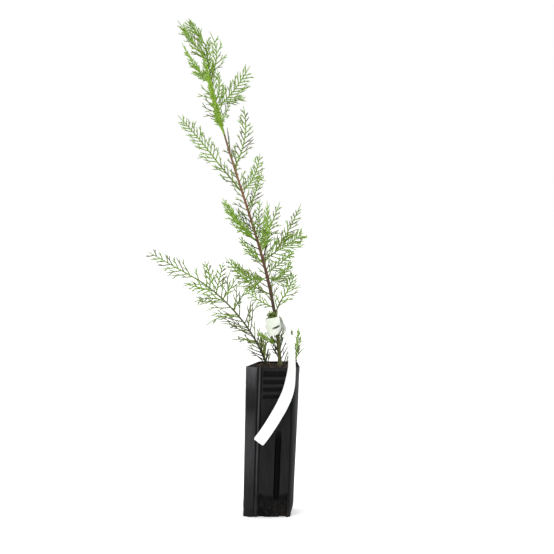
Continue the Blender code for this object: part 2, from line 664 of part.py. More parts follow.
def side_bough(bough, trunk):
    # A bough's curve, from just outside the trunk to the tip where its spray begins
    share = share_at_height(trunk.curve, bough.foot * MM)
    tip = Vector(bough.tip) * MM
    control = on_curve(trunk.curve, share).lerp(tip, 0.5) - Vector((0, 0, 2 * bough.sag)) * MM
    foot = foot_beside(trunk, share, control, SIDE_FOOT_RADIUS)
    return Limb(bough.name, [foot, control, tip], SIDE_FOOT_RADIUS, SIDE_TIP_RADIUS)


def main():
    clear_scene()
    plastic = finish("pot_plastic", (0.022, 0.022, 0.024), 0.42)
    compost = finish("compost", (0.045, 0.028, 0.016), 0.95)
    paper = finish("label_plastic", (0.86, 0.87, 0.86), 0.35)
    bark = finish("bark", (0.17, 0.085, 0.045), 0.75)
    green = finish("foliage", (0.19, 0.34, 0.06), 0.6)

    make_pot(plastic)
    make_root_ball(compost)

    trunk_curve = [TRUNK_FOOT, TRUNK_LOW, TRUNK_HIGH, TRUNK_TOP]
    trunk = Limb("trunk", trunk_curve, TRUNK_FOOT_RADIUS, TRUNK_TOP_RADIUS)
    bough_curve = [BOUGH_FOOT, BOUGH_LOW, BOUGH_HIGH, BOUGH_TIP]
    low_bough = Limb("low_left_bough", bough_curve, BOUGH_FOOT_RADIUS, BOUGH_TIP_RADIUS)
    limbs = {"trunk": trunk, "low_left_bough": low_bough}
    for bough in BOUGHS:
        limbs[bough.name] = side_bough(bough, trunk)

    room = Room()
    for limb in limbs.values():
        for i in range(LIMB_BARS):
            ends = [on_curve(limb.curve, share / LIMB_BARS) for share in (i, i + 1)]
            room.add(limb.name, ends, limb_radius(limb, i / LIMB_BARS))
    for middle, lie, width in label_stations(trunk):
        edge = lie * width / 2
        room.add("label", [middle - edge, middle + edge], LABEL_ROOM)

    curves = {spray.name: stalk_curve(spray, limbs[spray.limb]) for spray in SPRAYS}
    for name, curve in curves.items():
        stops = [on_curve(curve, i / STALK_BARS) for i in range(STALK_BARS + 1)]
        room.add(name, stops, STALK_FOOT_RADIUS)
    growths = {spray.name: grow_spray(spray, curves[spray.name], room) for spray in SPRAYS}

    make_limb(trunk, TRUNK_SIDES, TRUNK_HOOPS, bark)
    make_limb(low_bough, BOUGH_SIDES, LONG_BOUGH_HOOPS, bark)
    for bough in BOUGHS:
        make_limb(limbs[bough.name], BOUGH_SIDES, SIDE_BOUGH_HOOPS, bark)
    make_label(trunk, paper)
    for spray in SPRAYS:
        make_spray(spray, curves[spray.name], growths[spray.name], green)


main()
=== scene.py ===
import math
import random

import bmesh
import bpy
import numpy as np
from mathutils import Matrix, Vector, noise


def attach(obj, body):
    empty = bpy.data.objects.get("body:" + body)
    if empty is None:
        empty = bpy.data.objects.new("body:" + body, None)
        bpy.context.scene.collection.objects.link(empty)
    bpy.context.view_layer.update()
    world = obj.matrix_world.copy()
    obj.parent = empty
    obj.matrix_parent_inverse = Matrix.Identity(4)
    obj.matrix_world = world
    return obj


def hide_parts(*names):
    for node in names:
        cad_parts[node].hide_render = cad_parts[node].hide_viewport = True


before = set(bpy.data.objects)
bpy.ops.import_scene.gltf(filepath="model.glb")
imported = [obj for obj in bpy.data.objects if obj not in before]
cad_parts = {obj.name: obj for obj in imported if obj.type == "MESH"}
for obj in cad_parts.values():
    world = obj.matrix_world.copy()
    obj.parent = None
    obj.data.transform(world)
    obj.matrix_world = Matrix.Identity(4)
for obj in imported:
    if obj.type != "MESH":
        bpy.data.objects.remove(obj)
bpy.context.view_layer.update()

# A potted leyland cypress sapling: thin black tube pot, compost, leaning stem, flat sprays, blank label
# Metres, +Z up, the viewer looks along +Y, the origin is under the middle of the pot
mm = 0.001


# Small helpers for working in edit mode

def pickOnly(piece):
    bpy.ops.object.select_all(action="DESELECT")
    piece.select_set(True)
    bpy.context.view_layer.objects.active = piece


def newest(name):
    # The object that the last add operator made, with its mesh named after it
    piece = bpy.context.active_object
    piece.name = name
    piece.data.name = name
    return piece


def openEdit(piece):
    pickOnly(piece)
    bpy.ops.object.mode_set(mode="EDIT")
    bpy.ops.mesh.select_mode(type="VERT")


def closeEdit():
    bpy.ops.object.mode_set(mode="OBJECT")


def pickPoints(piece, test):
    # Selects the vertices whose place passes the test
    shape = bmesh.from_edit_mesh(piece.data)
    for part in (*shape.faces, *shape.edges):
        part.select = False
    for point in shape.verts:
        point.select = bool(test(point.co))
    shape.select_flush(True)
    bmesh.update_edit_mesh(piece.data)


def pickFaces(piece, test):
    # Selects the faces whose middle and normal pass the test
    shape = bmesh.from_edit_mesh(piece.data)
    for part in (*shape.verts, *shape.edges):
        part.select = False
    for face in shape.faces:
        face.select_set(bool(test(face.calc_center_median(), face.normal)))
    bmesh.update_edit_mesh(piece.data)


def cutAcross(place, way):
    # Cuts the whole mesh by a plane through the place
    bpy.ops.mesh.select_all(action="SELECT")
    bpy.ops.mesh.bisect(plane_co=place, plane_no=way)


def faceOut():
    bpy.ops.mesh.select_all(action="SELECT")
    bpy.ops.mesh.normals_make_consistent(inside=False)


def putInOrder(piece):
    # Cuts leave points and corners in an order that changes from run to run. Here they go in order of place
    places = [tuple(round(c, 5) for c in reversed(point.co)) for point in piece.data.vertices]
    order = sorted(range(len(places)), key=lambda k: places[k])
    rank = {old: new for new, old in enumerate(order)}
    points = [piece.data.vertices[k].co.copy() for k in order]
    faces = []
    for face in piece.data.polygons:
        ring = [rank[k] for k in face.vertices]
        first = ring.index(min(ring))
        faces.append(ring[first:] + ring[:first])
    piece.data.clear_geometry()
    piece.data.from_pydata(points, [], sorted(faces))


def applyModifiers(piece):
    pickOnly(piece)
    for modifier in list(piece.modifiers):
        bpy.ops.object.modifier_apply(modifier=modifier.name)


def applyPlace(piece):
    pickOnly(piece)
    bpy.ops.object.transform_apply(location=True, rotation=True, scale=True)


def smoothBelow(piece, angle):
    pickOnly(piece)
    bpy.ops.object.shade_smooth_by_angle(angle=math.radians(angle))


def dress(piece, material):
    piece.data.materials.clear()
    piece.data.materials.append(material)


def seat(piece, material, slot, *nodes):
    # Gives a finished piece its material and its place in the frame
    dress(piece, material)
    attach(piece, "root")
    if nodes:
        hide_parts(*nodes)


# Camera, floor and light

studio = {
    "cameraAt": (0.0099, -2.0, 0.4898),
    "tilt": 4.955,              # degrees below level
    "lens": 98.7,
    "floorSize": 14.0, "floorDrop": 0.1 * mm, "floorWhite": 0.9,
    "skySeen": 1.0,             # what the camera sees behind the floor
    "sky": (0.16, 0.72),        # what lights the plant from the viewer's side, and from behind it
    "skyTurns": (-0.6, 0.5),    # where between the two, front to back, it goes from one to the other
    "sun": (2.6, 130),          # strength, and width in degrees, of the light straight overhead
    "lamps": [                  # name, place, size, watts, aims at
        ("keyLamp", (-0.9, -1.3, 1.9), 1.3, 22, (0, 0, 0.4)),
        ("fillLamp", (1.5, -1.0, 1.1), 1.4, 9, (0, 0, 0.4)),
        ("sideLamp", (1.7, 0.5, 0.5), 0.9, 5, (0, 0, 0.15)),
    ],
}


def addLight(kind, name, place, strength, turn=(0, 0, 0)):
    bpy.ops.object.light_add(type=kind, location=place, rotation=turn)
    light = bpy.context.active_object
    light.name = name
    light.data.energy = strength
    return light.data


def buildStudio():
    s = studio
    bpy.ops.object.camera_add(location=s["cameraAt"], rotation=(math.radians(90 - s["tilt"]), 0, 0))
    camera = bpy.context.active_object
    camera.name = "camera"
    camera.data.lens = s["lens"]
    camera.data.sensor_width = 36
    camera.data.clip_start = 0.05
    bpy.context.scene.camera = camera

    bpy.ops.mesh.primitive_plane_add(size=s["floorSize"], location=(0, 0, -s["floorDrop"]))
    floor = newest("floor")
    dress(floor, Look("paleFloor", 0.95, 0.1).finish((s["floorWhite"],) * 3))

    for name, place, size, watts, target in s["lamps"]:
        aim = Vector(target) - Vector(place)
        addLight("AREA", name, place, watts, aim.to_track_quat("-Z", "Y").to_euler()).size = size
    strength, width = s["sun"]
    addLight("SUN", "overheadLight", (0, 0, 3), strength).angle = math.radians(width)

    world = bpy.data.worlds.new("studioSky")
    world.use_nodes = True
    bpy.context.scene.world = world
    sky = Wiring(world.node_tree)
    towards = sky.axes(sky.add("TexCoord", "Generated", {}))[1]
    seen = sky.add("LightPath", "Is Camera Ray", {})
    light = sky.add("Mix", 0, {0: seen, 2: sky.spread(towards, s["skyTurns"], s["sky"]), 3: s["skySeen"]})
    background = world.node_tree.nodes["Background"]
    sky.feed(background.inputs["Strength"], light)
    sky.feed(background.inputs["Color"], (1, 1, 1))
    bpy.context.scene.view_settings.view_transform = "Standard"
    print("studio: camera, floor and", len(s["lamps"]), "lamps")


# Materials: each is a Principled shader whose colour, roughness and bump come from a few textures

def linear(red, green, blue):
    # From 0 to 255 screen values
    return tuple((v / 255 / 12.92) if v <= 10 else ((v / 255 + 0.055) / 1.055) ** 2.4
                 for v in (red, green, blue))


def grey(value):
    return (value, value, value * 1.05)


class Wiring:
    # Adds nodes to a tree one by one, each fed by other nodes' sockets or by plain values

    def __init__(self, tree):
        self.tree = tree

    def feed(self, socket, source):
        if isinstance(source, bpy.types.NodeSocket):
            self.tree.links.new(source, socket)
        else:
            socket.default_value = (*source, 1) if socket.type == "RGBA" else source

    def add(self, kind, output, inputs, **settings):
        node = self.tree.nodes.new("ShaderNode" + kind)
        for name, value in settings.items():
            setattr(node, name, value)
        for name, source in inputs.items():
            self.feed(node.inputs[name], source)
        return node.outputs[output]

    def axes(self, vector):
        node = self.add("SeparateXYZ", "X", {"Vector": vector}).node
        return [node.outputs[name] for name in "XYZ"]

    def spread(self, value, source=(0, 1), target=(0, 1)):
        # Stretches the source range to the target range, and stops at its ends
        return self.add("MapRange", "Result", {"Value": value, "From Min": source[0], "From Max": source[1],
                                               "To Min": target[0], "To Max": target[1]})

    def maths(self, operation, first, second=0.0):
        return self.add("Math", "Value", {0: first, 1: second}, operation=operation)


class Look(Wiring):
    # A material: one Principled shader with the textures that feed it

    def __init__(self, name, roughness, specular):
        self.material = bpy.data.materials.new(name)
        self.material.use_nodes = True
        super().__init__(self.material.node_tree)
        self.shader = self.tree.nodes["Principled BSDF"]
        self.feed(self.shader.inputs["Specular IOR Level"], specular)
        self.roughen(roughness)

    def roughen(self, source):
        self.feed(self.shader.inputs["Roughness"], source)

    def place(self, stretch=(1, 1, 1)):
        # Object coordinates, stretched
        return self.add("Mapping", "Vector", {"Vector": self.add("TexCoord", "Object", {}), "Scale": stretch})

    def noise(self, vector, scale, detail=3.0, rough=0.5):
        return self.add("TexNoise", "Fac", {"Vector": vector, "Scale": scale, "Detail": detail,
                                            "Roughness": rough})

    def ramp(self, value, stops):
        colour = self.add("ValToRGB", "Color", {"Fac": value})
        elements = colour.node.color_ramp.elements
        while len(elements) < len(stops):
            elements.new(0.5)
        for element, (position, tone) in zip(elements, stops):
            element.position = position
            element.color = (*tone, 1)
        return colour

    def mix(self, factor, first, second, way="MIX"):
        return self.add("Mix", 2, {0: factor, 6: first, 7: second}, data_type="RGBA", blend_type=way)

    def finish(self, colour, height=None, strength=0.0, distance=0.0):
        # Feeds the shader its colour, and a bump where there is a height for one
        self.feed(self.shader.inputs["Base Color"], colour)
        if height is not None:
            bump = self.add("Bump", "Normal", {"Height": height, "Strength": strength, "Distance": distance})
            self.feed(self.shader.inputs["Normal"], bump)
        return self.material


plastic = {                     # how much of the light each place sends back, and where such places end
    "panel": [(0.0, 0.0145), (0.15, 0.012), (0.24, 0.004), (0.5, 0.003), (0.8, 0.0)],        # by depth: painted shade, darker the deeper the surface sinks
    "depth": 6 * mm, "panelEdge": 1.5 * mm,
    "foldHighlight": [(0.0, 0.011), (0.2, 0.018), (0.42, 0.036), (0.6, 0.036), (0.74, 0.012), (0.84, 0.018),
             (0.95, 0.052), (1.0, 0.075)],                                                   # by height: painted highlights and reflections on the folded edge
    "foldEdge": (-22 * mm, -18.5 * mm),
    "strip": 0.06, "stripEdge": (29 * mm, 35 * mm),         # the narrow wall at the right, lighter with painted light
    # The bead's painted highlight: its tone, its width, and the heights over which it fades in
    "bead": 0.05, "beadEdge": (0.4 * mm, 1.2 * mm), "beadHighlightHeights": (30 * mm, 80 * mm),
    # Painted shade: dark lines along the edges of the panel's recess and of the folded edge
    "edgeShade": 0.003, "edgeShadeWidth": (0.3 * mm, 1.3 * mm), "edgeShadeLines": [-19.2 * mm, -14.2 * mm, 26.6 * mm],
    # Upright streaks: scuffs and painted sheen
    "scuffAndSheenRange": (0.72, 1.3),
    "crease": 0.022, "creaseHalf": 0.022, "creaseEdge": (18 * mm, 26 * mm),
    "soil": (0.05, 0.042, 0.032), "soilHigh": 24 * mm,
}


def plasticBlack():
    # Moulded black plastic: painted highlights make it grey on its folded edge and bead, and painted shade
    # makes it nearly black down in its recesses
    look, p = Look("potPlastic", 0.4, 0.05), plastic
    flat = look.place()
    x, y, z = look.axes(flat)
    lean = look.maths("MULTIPLY", z, pot["lean"] / pot["height"])
    across = look.maths("SUBTRACT", look.maths("SUBTRACT", x, lean), pot["baseShift"])
    taper = look.maths("MULTIPLY", z, (pot["rimHalf"] - pot["baseHalf"]) / pot["height"])
    front = look.maths("ADD", taper, pot["baseHalf"])
    depth = look.maths("SUBTRACT", front, look.maths("ABSOLUTE", y))

    def nearTo(place, ends):
        away = look.maths("ABSOLUTE", look.maths("SUBTRACT", across, place))
        return look.spread(away, ends, (1, 0))

    # Painted shade: across the panel, the groove, ribs and foot recess grow darker the deeper they sink;
    # elsewhere the front keeps its plain tone
    sunk = look.ramp(look.spread(depth, (0, p["depth"])), [(stop, grey(tone)) for stop, tone in p["panel"]])
    onPanel = nearTo(pot["panelAt"], (pot["panelHalf"], pot["panelHalf"] + p["panelEdge"]))
    tone = look.mix(onPanel, grey(p["panel"][0][1]), sunk)
    # Painted highlight and reflection: the folded edge at the left grows lighter and darker by height, as the
    # light falls on it
    foldHighlight = look.ramp(look.spread(z, (0, pot["height"])), [(stop, grey(tone)) for stop, tone in p["foldHighlight"]])
    tone = look.mix(look.spread(across, p["foldEdge"], (1, 0)), tone, foldHighlight)
    # Painted light: the narrow wall at the right is lighter where it turns towards the light
    tone = look.mix(look.spread(across, p["stripEdge"]), tone, grey(p["strip"]))
    # Painted highlight along the crest of the bead, fading out towards its lower end
    beadHighlight = look.maths("MULTIPLY", nearTo(pot["beadAt"], p["beadEdge"]),
                      look.spread(z, p["beadHighlightHeights"], (0.1, 1)))
    tone = look.mix(beadHighlight, tone, grey(p["bead"]))
    # Painted shade in dark lines where the panel's recess and the folded edge step in
    for edgeShade in p["edgeShadeLines"]:
        tone = look.mix(nearTo(edgeShade, p["edgeShadeWidth"]), tone, grey(p["edgeShade"]))

    # Upright streaks, part scuffs and part painted sheen, lighten and darken the whole surface
    scuffAndSheen = look.noise(look.place((1, 1, 0.05)), 800, 4, 0.6)
    tone = look.mix(1.0, tone, look.spread(scuffAndSheen, (0.34, 0.66), p["scuffAndSheenRange"]), "MULTIPLY")
    # White stress lines where the thin foot is crumpled
    folds = look.noise(flat, 130, 1.5, 0.4)
    line = look.maths("ABSOLUTE", look.maths("SUBTRACT", folds, 0.5))
    creased = look.maths("MULTIPLY", look.spread(line, (0, p["creaseHalf"]), (0.8, 0)),
                         look.spread(z, p["creaseEdge"], (1, 0)))
    tone = look.mix(creased, tone, grey(p["crease"]))
    patch = look.noise(flat, 45, 4, 0.6)
    soil = look.maths("MULTIPLY", look.spread(z, (0, p["soilHigh"]), (0.3, 0)),
                      look.spread(patch, (0.46, 0.7)))
    look.roughen(look.spread(patch, (0.3, 0.7), (0.3, 0.5)))
    return look.finish(look.mix(soil, tone, p["soil"]), look.noise(flat, 2600, 2), 0.12, 0.1 * mm)


def compostBrown():
    look = Look("compostBrown", 0.92, 0.25)
    clods = look.noise(look.place(), 420, 5, 0.65)
    fibres = look.noise(look.place((1, 0.25, 1)), 1500)
    brown = look.ramp(clods, [(0.3, (0.006, 0.0045, 0.003)), (0.54, (0.016, 0.012, 0.0075)),
                              (0.74, (0.042, 0.031, 0.02))])
    tone = look.mix(look.spread(fibres, (0.62, 0.76), (0, 0.4)), brown, (0.09, 0.06, 0.036))
    return look.finish(tone, fibres, 0.5, 0.4 * mm)


def chipMaterial(name, dark, pale):
    # Bark chips and grit among the compost
    look = Look(name, 0.8, 0.3)
    grain = look.noise(look.place((1, 1, 0.4)), 900, 4)
    return look.finish(look.ramp(grain, [(0.32, dark), (0.68, pale)]), grain, 0.4, 0.3 * mm)


barkLooks = {                   # heights (m) that the colours run between, colours by height, the fissures'
                                # stretch, fineness, ends and colour, and the colour of pale spots
    # Green-brown at the foot, dark above, then red-brown, and green where the stem is this year's
    "barkBrown": ((0.198, 0.622), [
        (0.0, (84, 88, 42)), (0.1, (80, 80, 42)), (0.19, (62, 48, 34)), (0.34, (98, 64, 46)),
        (0.5, (124, 85, 64)), (0.66, (124, 92, 62)), (0.75, (104, 96, 48)), (0.84, (104, 126, 50)),
        (1.0, (92, 130, 48))], (1, 1, 0.12), 1300, (0.34, 0.52), (38, 32, 24), (140, 122, 96)),
    # The boughs: dark at the foot of the plant, olive and then green higher up
    "boughBrown": ((0.198, 0.34), [
        (0.0, (44, 42, 32)), (0.25, (58, 58, 38)), (0.5, (84, 92, 50)), (1.0, (98, 120, 52))],
        (0.4, 1, 0.4), 1100, (0.34, 0.55), (40, 34, 28), None),
}


def barkLook(name):
    heights, tones, stretch, fineness, ends, crack, spots = barkLooks[name]
    look = Look(name, 0.7, 0.35)
    flat = look.place()
    climb = look.spread(look.axes(flat)[2], heights)
    tone = look.ramp(climb, [(height, linear(*colour)) for height, colour in tones])
    streaks = look.noise(look.place(stretch), fineness, 4, 0.6)
    tone = look.mix(look.spread(streaks, ends, (0.6, 0)), tone, linear(*crack))
    if spots:
        tone = look.mix(look.spread(look.noise(flat, 330), (0.56, 0.7), (0, 0.25)), tone, linear(*spots))
    return look.finish(tone, streaks, 0.35, 0.15 * mm)


def leafGreen(name, colour, paler):
    # Waxy scale leaves; the paler green comes in small patches
    look = Look(name, 0.5, 0.15)
    wax = look.noise(look.place(), 260)
    look.roughen(look.spread(wax, target=(0.42, 0.6)))
    return look.finish(look.mix(look.spread(wax, (0.4, 0.66), (0, 0.7)), linear(*colour), linear(*paler)))


whites = {
    "plain": [(0.3, (0.78, 0.79, 0.775)), (0.7, (0.83, 0.84, 0.83))],
    "loopShadeTint": (0.66, 0.7, 0.6),                       # the band round the stem, with painted shade and a painted green reflection of the foliage
    "loopShadeLow": (0.236, 0.242), "loopShadeRight": (0.004, 0.018),     # it starts going up, and fades to the right
}


def labelWhite():
    # Glossy white plastic, with faint rolling marks along its length, and painted shade with a painted green
    # reflection on the loop round the stem
    look = Look("labelWhite", 0.32, 0.5)
    flat = look.place()
    x, _, z = look.axes(flat)
    # Painted shade and painted green reflection on the loop: strongest at its left, fading to the right where
    # the light falls
    band = look.maths("MULTIPLY", look.spread(z, whites["loopShadeLow"]),
                      look.spread(x, whites["loopShadeRight"], (1, 0.2)))
    marks = look.noise(look.place((1, 1, 0.1)), 700, 2)
    look.roughen(look.spread(marks, target=(0.26, 0.4)))
    look.feed(look.shader.inputs["Subsurface Weight"], 0.1)
    look.feed(look.shader.inputs["Subsurface Radius"], (0.5 * mm,) * 3)
    white = look.ramp(look.noise(flat, 60), whites["plain"])
    return look.finish(look.mix(band, white, whites["loopShadeTint"]), marks, 0.06, 0.1 * mm)


# Pot: its outline drawn from above and pulled up, cut into levels, sunk where the mould is sunk, then
# tapered and leant

pot = {
    "height": 200 * mm, "rimHalf": 29.2 * mm, "baseHalf": 27.1 * mm,    # half the depth, front to back
    "baseShift": -2.3 * mm, "lean": 6.6 * mm, "wall": 0.8 * mm, "corner": 1.3 * mm,
    "soften": 0.3 * mm, "softenFrom": 28,           # bevel of the edges that are sharper than this (degrees)
    "outline": {                # from above, as shares of the half depth: each wall's two ends
        "front": ((-0.69, -1.0), (1.02, -1.0)), "right": ((1.22, -0.82), (1.12, 0.9)),
        "back": ((1.03, 1.0), (-0.58, 1.0)), "left": ((-0.66, 0.92), (-1.22, -0.7)),
        "folded": ((-1.18, -0.81), (-0.96, -0.95)),
    },
    "levels": [4 * mm, 9 * mm, 14 * mm, 20 * mm, 62 * mm, 90 * mm, 136 * mm],   # cuts that let it bend
    "uprights": (11 * mm, 5 * mm),                  # the same, beside the panel's middle
    "tuck": 3 * mm, "tuckHeight": 20 * mm,          # the front right foot is pushed in
    "tuckFrom": (25.5 * mm, -18 * mm),
    "slope": 1.2 * mm,                              # height of a recess's slanted edge
    "panelLow": 33 * mm, "panelHigh": 157 * mm, "panelSunk": 0.9 * mm,
    "panelAt": 6.2 * mm, "panelHalf": 19.6 * mm, "panelEdge": 1.2 * mm,
    "panelDip": 4.5 * mm, "dipWide": 9 * mm, "dipPast": 3 * mm,         # its lower edge hangs in the middle
    "footSunk": 3.2 * mm, "footSlope": 6 * mm,
    "grooveAt": 10.7 * mm, "grooveHalf": 2.6 * mm, "grooveTop": 116 * mm, "grooveSunk": 5 * mm,
    "grooveSlope": 12 * mm, "grooveEdge": 1.8 * mm,
    "beadAt": -16.8 * mm, "beadHigh": 0.8 * mm,     # a raised seam beside the folded edge
    "beadHalf": 0.4 * mm, "beadFoot": 1.3 * mm,
    "ribs": [155.8 * mm, 165.6 * mm, 175.4 * mm, 185.2 * mm], "ribHalf": 1.5 * mm,
    "rimBand": 4.6 * mm,
    "ribWide": 17.6 * mm, "ribSunk": 1.7 * mm,
    "notch": (11 * mm, 5 * mm, 3.5 * mm), "notchAt": 14.5 * mm, "notchTop": 0.72,
    "crumple": 0.8 * mm, "footCrumple": 2.0 * mm, "dents": 0.35 * mm, "crease": 6 * mm, "crumpleSeed": 4,
    "plainEdge": 2 * mm, "crumpleHigh": 30 * mm,
    "recessDeep": (-26 * mm, -20 * mm), "recessHalf": 24 * mm,
    "ragged": 2.6 * mm, "raggedHigh": 9 * mm,       # how far the foot's edge rises here and there
    "raggedAt": [(-21 * mm, 3.5 * mm), (18.5 * mm, 5 * mm)],            # where most, and how wide
}


def potHalf(height):
    return pot["baseHalf"] + (pot["rimHalf"] - pot["baseHalf"]) * height / pot["height"]


def potShift(height):
    return pot["baseShift"] + pot["lean"] * height / pot["height"]


def buildPot():
    p = pot
    half, slope, edge, tiny = p["rimHalf"], p["slope"], p["panelEdge"], 0.05 * mm
    corners = [corner for wall in p["outline"].values() for corner in wall]
    bpy.ops.mesh.primitive_circle_add(vertices=len(corners), radius=half, fill_type="NGON")
    piece = newest("plasticPot")
    for point, (across, back) in zip(piece.data.vertices, corners):
        point.co = (across * half, back * half, 0)
    openEdit(piece)
    bpy.ops.mesh.select_all(action="SELECT")
    bpy.ops.mesh.bevel(offset=p["corner"], segments=3, affect="VERTICES")
    bpy.ops.mesh.select_all(action="SELECT")
    bpy.ops.mesh.extrude_region_move(TRANSFORM_OT_translate={"value": (0, 0, p["height"])})
    faceOut()

    # Recesses between the ribs, and the bands of the panel, groove and foot
    bands = [(low + p["ribHalf"], high - p["ribHalf"]) for low, high in zip(p["ribs"], p["ribs"][1:])]
    bands.append((p["ribs"][-1] + p["ribHalf"], p["height"] - p["rimBand"]))
    grooveFoot, grooveHigh = p["panelLow"] - p["footSlope"], p["grooveTop"] - p["grooveSlope"]
    levels = {*p["levels"], grooveFoot, p["panelLow"], p["panelHigh"] - edge, p["panelHigh"],
              grooveHigh, p["grooveTop"], p["height"] - slope}
    for low, high in bands:
        levels |= {low, low + slope, high - slope, high}
    for level in sorted(levels):
        cutAcross((0, 0, level), (0, 0, 1))
    uprights = {
        "panelAt": (p["panelHalf"] + edge, p["panelHalf"], p["ribWide"] + slope, p["ribWide"],
                    *p["uprights"]),
        "grooveAt": (p["grooveHalf"] + p["grooveEdge"], p["grooveHalf"]),
        "beadAt": (p["beadFoot"], p["beadHalf"]),
    }
    for middle, reaches in uprights.items():
        for reach in reaches:
            cutAcross((p[middle] - reach, 0, 0), (1, 0, 0))
            cutAcross((p[middle] + reach, 0, 0), (1, 0, 0))
    pickFaces(piece, lambda middle, normal: normal.z > 0.9)
    bpy.ops.mesh.delete(type="FACE")
    closeEdit()
    putInOrder(piece)
    openEdit(piece)

    def sink(side, middle, wide, low, high, depth):
        pickPoints(piece, lambda co: side * co.y > half - 12 * mm and abs(co.x - middle) < wide + tiny
                   and low - tiny < co.z < high + tiny)
        bpy.ops.transform.translate(value=(0, -side * depth, 0))

    panel, groove = (p["panelAt"], p["panelHalf"]), (p["grooveAt"], p["grooveHalf"])
    for side in (-1, 1):
        sink(side, *panel, p["panelLow"], p["panelHigh"] - edge, p["panelSunk"])
        sink(side, *panel, 0, grooveFoot, p["footSunk"] / 2)
        sink(side, *panel, p["levels"][0], grooveFoot, p["footSunk"] / 2)
        sink(side, *groove, p["panelLow"], grooveHigh, p["grooveSunk"] - p["panelSunk"])
        sink(side, *groove, grooveFoot, grooveFoot, p["grooveSunk"] - p["footSunk"])
        for low, high in bands:
            sink(side, p["panelAt"], p["ribWide"], low + slope, high - slope, p["ribSunk"])
        # The panel's upper corners are rounded
        for end in (-1, 1):
            for grown in (0, edge):
                wide, level = p["panelHalf"] + grown, p["panelHigh"] - edge + grown
                pickPoints(piece, lambda co: side * co.y > half - 4 * mm and abs(co.z - level) < 2 * tiny
                           and abs(co.x - p["panelAt"] - end * wide) < 2 * tiny)
                bpy.ops.transform.translate(value=(-end * edge, 0, -edge))
    sink(-1, p["beadAt"], p["beadHalf"], p["levels"][1], p["panelHigh"], -p["beadHigh"])

    # Taper and lean, level by level
    shape = bmesh.from_edit_mesh(piece.data)
    heights = sorted({round(point.co.z, 6) for point in shape.verts})
    right, front = p["tuckFrom"]
    for height in heights:
        size = potHalf(height) / half
        pickPoints(piece, lambda co: abs(co.z - height) < 0.01 * mm)
        bpy.ops.transform.resize(value=(size, size, 1), center_override=(0, 0, height))
        bpy.ops.transform.translate(value=(potShift(height), 0, 0))
        if height < p["tuckHeight"]:
            pickPoints(piece, lambda co: abs(co.z - height) < 0.01 * mm and co.x > right and co.y < front)
            bpy.ops.transform.translate(value=(-p["tuck"] * (1 - height / p["tuckHeight"]), 0, 0))
    closeEdit()
    # The thin foot is crumpled, most of all in its front recess
    noise.seed_set(p["crumpleSeed"])
    for point in piece.data.vertices:
        x, y, z = point.co
        low = p["plainEdge"] < z < p["crumpleHigh"]
        recess = low and p["recessDeep"][0] < y < p["recessDeep"][1] and abs(x) < p["recessHalf"]
        push = p["footCrumple"] if recess else p["crumple"] if low else p["dents"]
        if p["plainEdge"] < z < p["height"] - p["plainEdge"]:
            point.co += noise.noise_vector(point.co / p["crease"]) * push
        if grooveFoot - p["dipPast"] < point.co.z < p["panelLow"] + p["dipPast"] and point.co.y < 0:
            point.co.z -= p["panelDip"] * math.exp(-((point.co.x - p["panelAt"]) / p["dipWide"]) ** 2)

    wall = piece.modifiers.new("wall", "SOLIDIFY")
    wall.thickness = p["wall"]
    wall.offset = -1
    applyModifiers(piece)
    cutter = buildNotches()
    cut = piece.modifiers.new("notches", "BOOLEAN")
    cut.object = cutter
    cut.operation = "DIFFERENCE"
    cut.solver = "MANIFOLD"     # the exact one drops this crumpled shell
    applyModifiers(piece)
    bpy.data.objects.remove(cutter)
    # The foot's edge is torn here and there
    for point in piece.data.vertices:
        rise = 1.6 * noise.noise(Vector((point.co.x, point.co.y, 0)) / p["raggedHigh"]) - 0.2
        rise += sum(math.exp(-((point.co.x - across) / wide) ** 4) for across, wide in p["raggedAt"])
        nearFoot = max(0.0, 1 - point.co.z / p["raggedHigh"])
        point.co.z += p["ragged"] * max(0.0, min(1.0, rise)) * nearFoot

    soften = piece.modifiers.new("soften", "BEVEL")
    soften.width = p["soften"]
    soften.segments = 2
    soften.limit_method = "ANGLE"
    soften.angle_limit = math.radians(p["softenFrom"])
    applyModifiers(piece)
    smoothBelow(piece, 35)
    seat(piece, plasticBlack(), "pot_plastic", "pot")
    print("pot:", len(piece.data.polygons), "faces")


def buildNotches():
    # Two blocks for each wall, which open the drain notches in the pot's lower edges
    wide, deep, high = pot["notch"]
    shift = Vector((pot["baseShift"], 0, 0))
    blocks = []
    for wall in ("front", "right", "back", "left"):
        start, end = (Vector((*corner, 0)) * pot["baseHalf"] for corner in pot["outline"][wall])
        along = (end - start).normalized()
        for side in (-1, 1):
            bpy.ops.mesh.primitive_cube_add(size=1, scale=(wide, 2 * deep, 2 * high))
            block = newest("notchBlock")
            applyPlace(block)
            openEdit(block)
            pickPoints(block, lambda co: co.z > 0)
            bpy.ops.transform.resize(value=(pot["notchTop"], 1, 1), center_override=(0, 0, high))
            closeEdit()
            block.location = (start + end) / 2 + along * side * pot["notchAt"] + shift
            block.rotation_euler.z = math.atan2(along.y, along.x)
            applyPlace(block)
            blocks.append(block)
    bpy.ops.object.select_all(action="DESELECT")
    for block in blocks:
        block.select_set(True)
    bpy.context.view_layer.objects.active = blocks[0]
    bpy.ops.object.join()
    return newest("notchCutter")


# Compost: a rough slab over the root ball, with crumbs, bark chips and grit

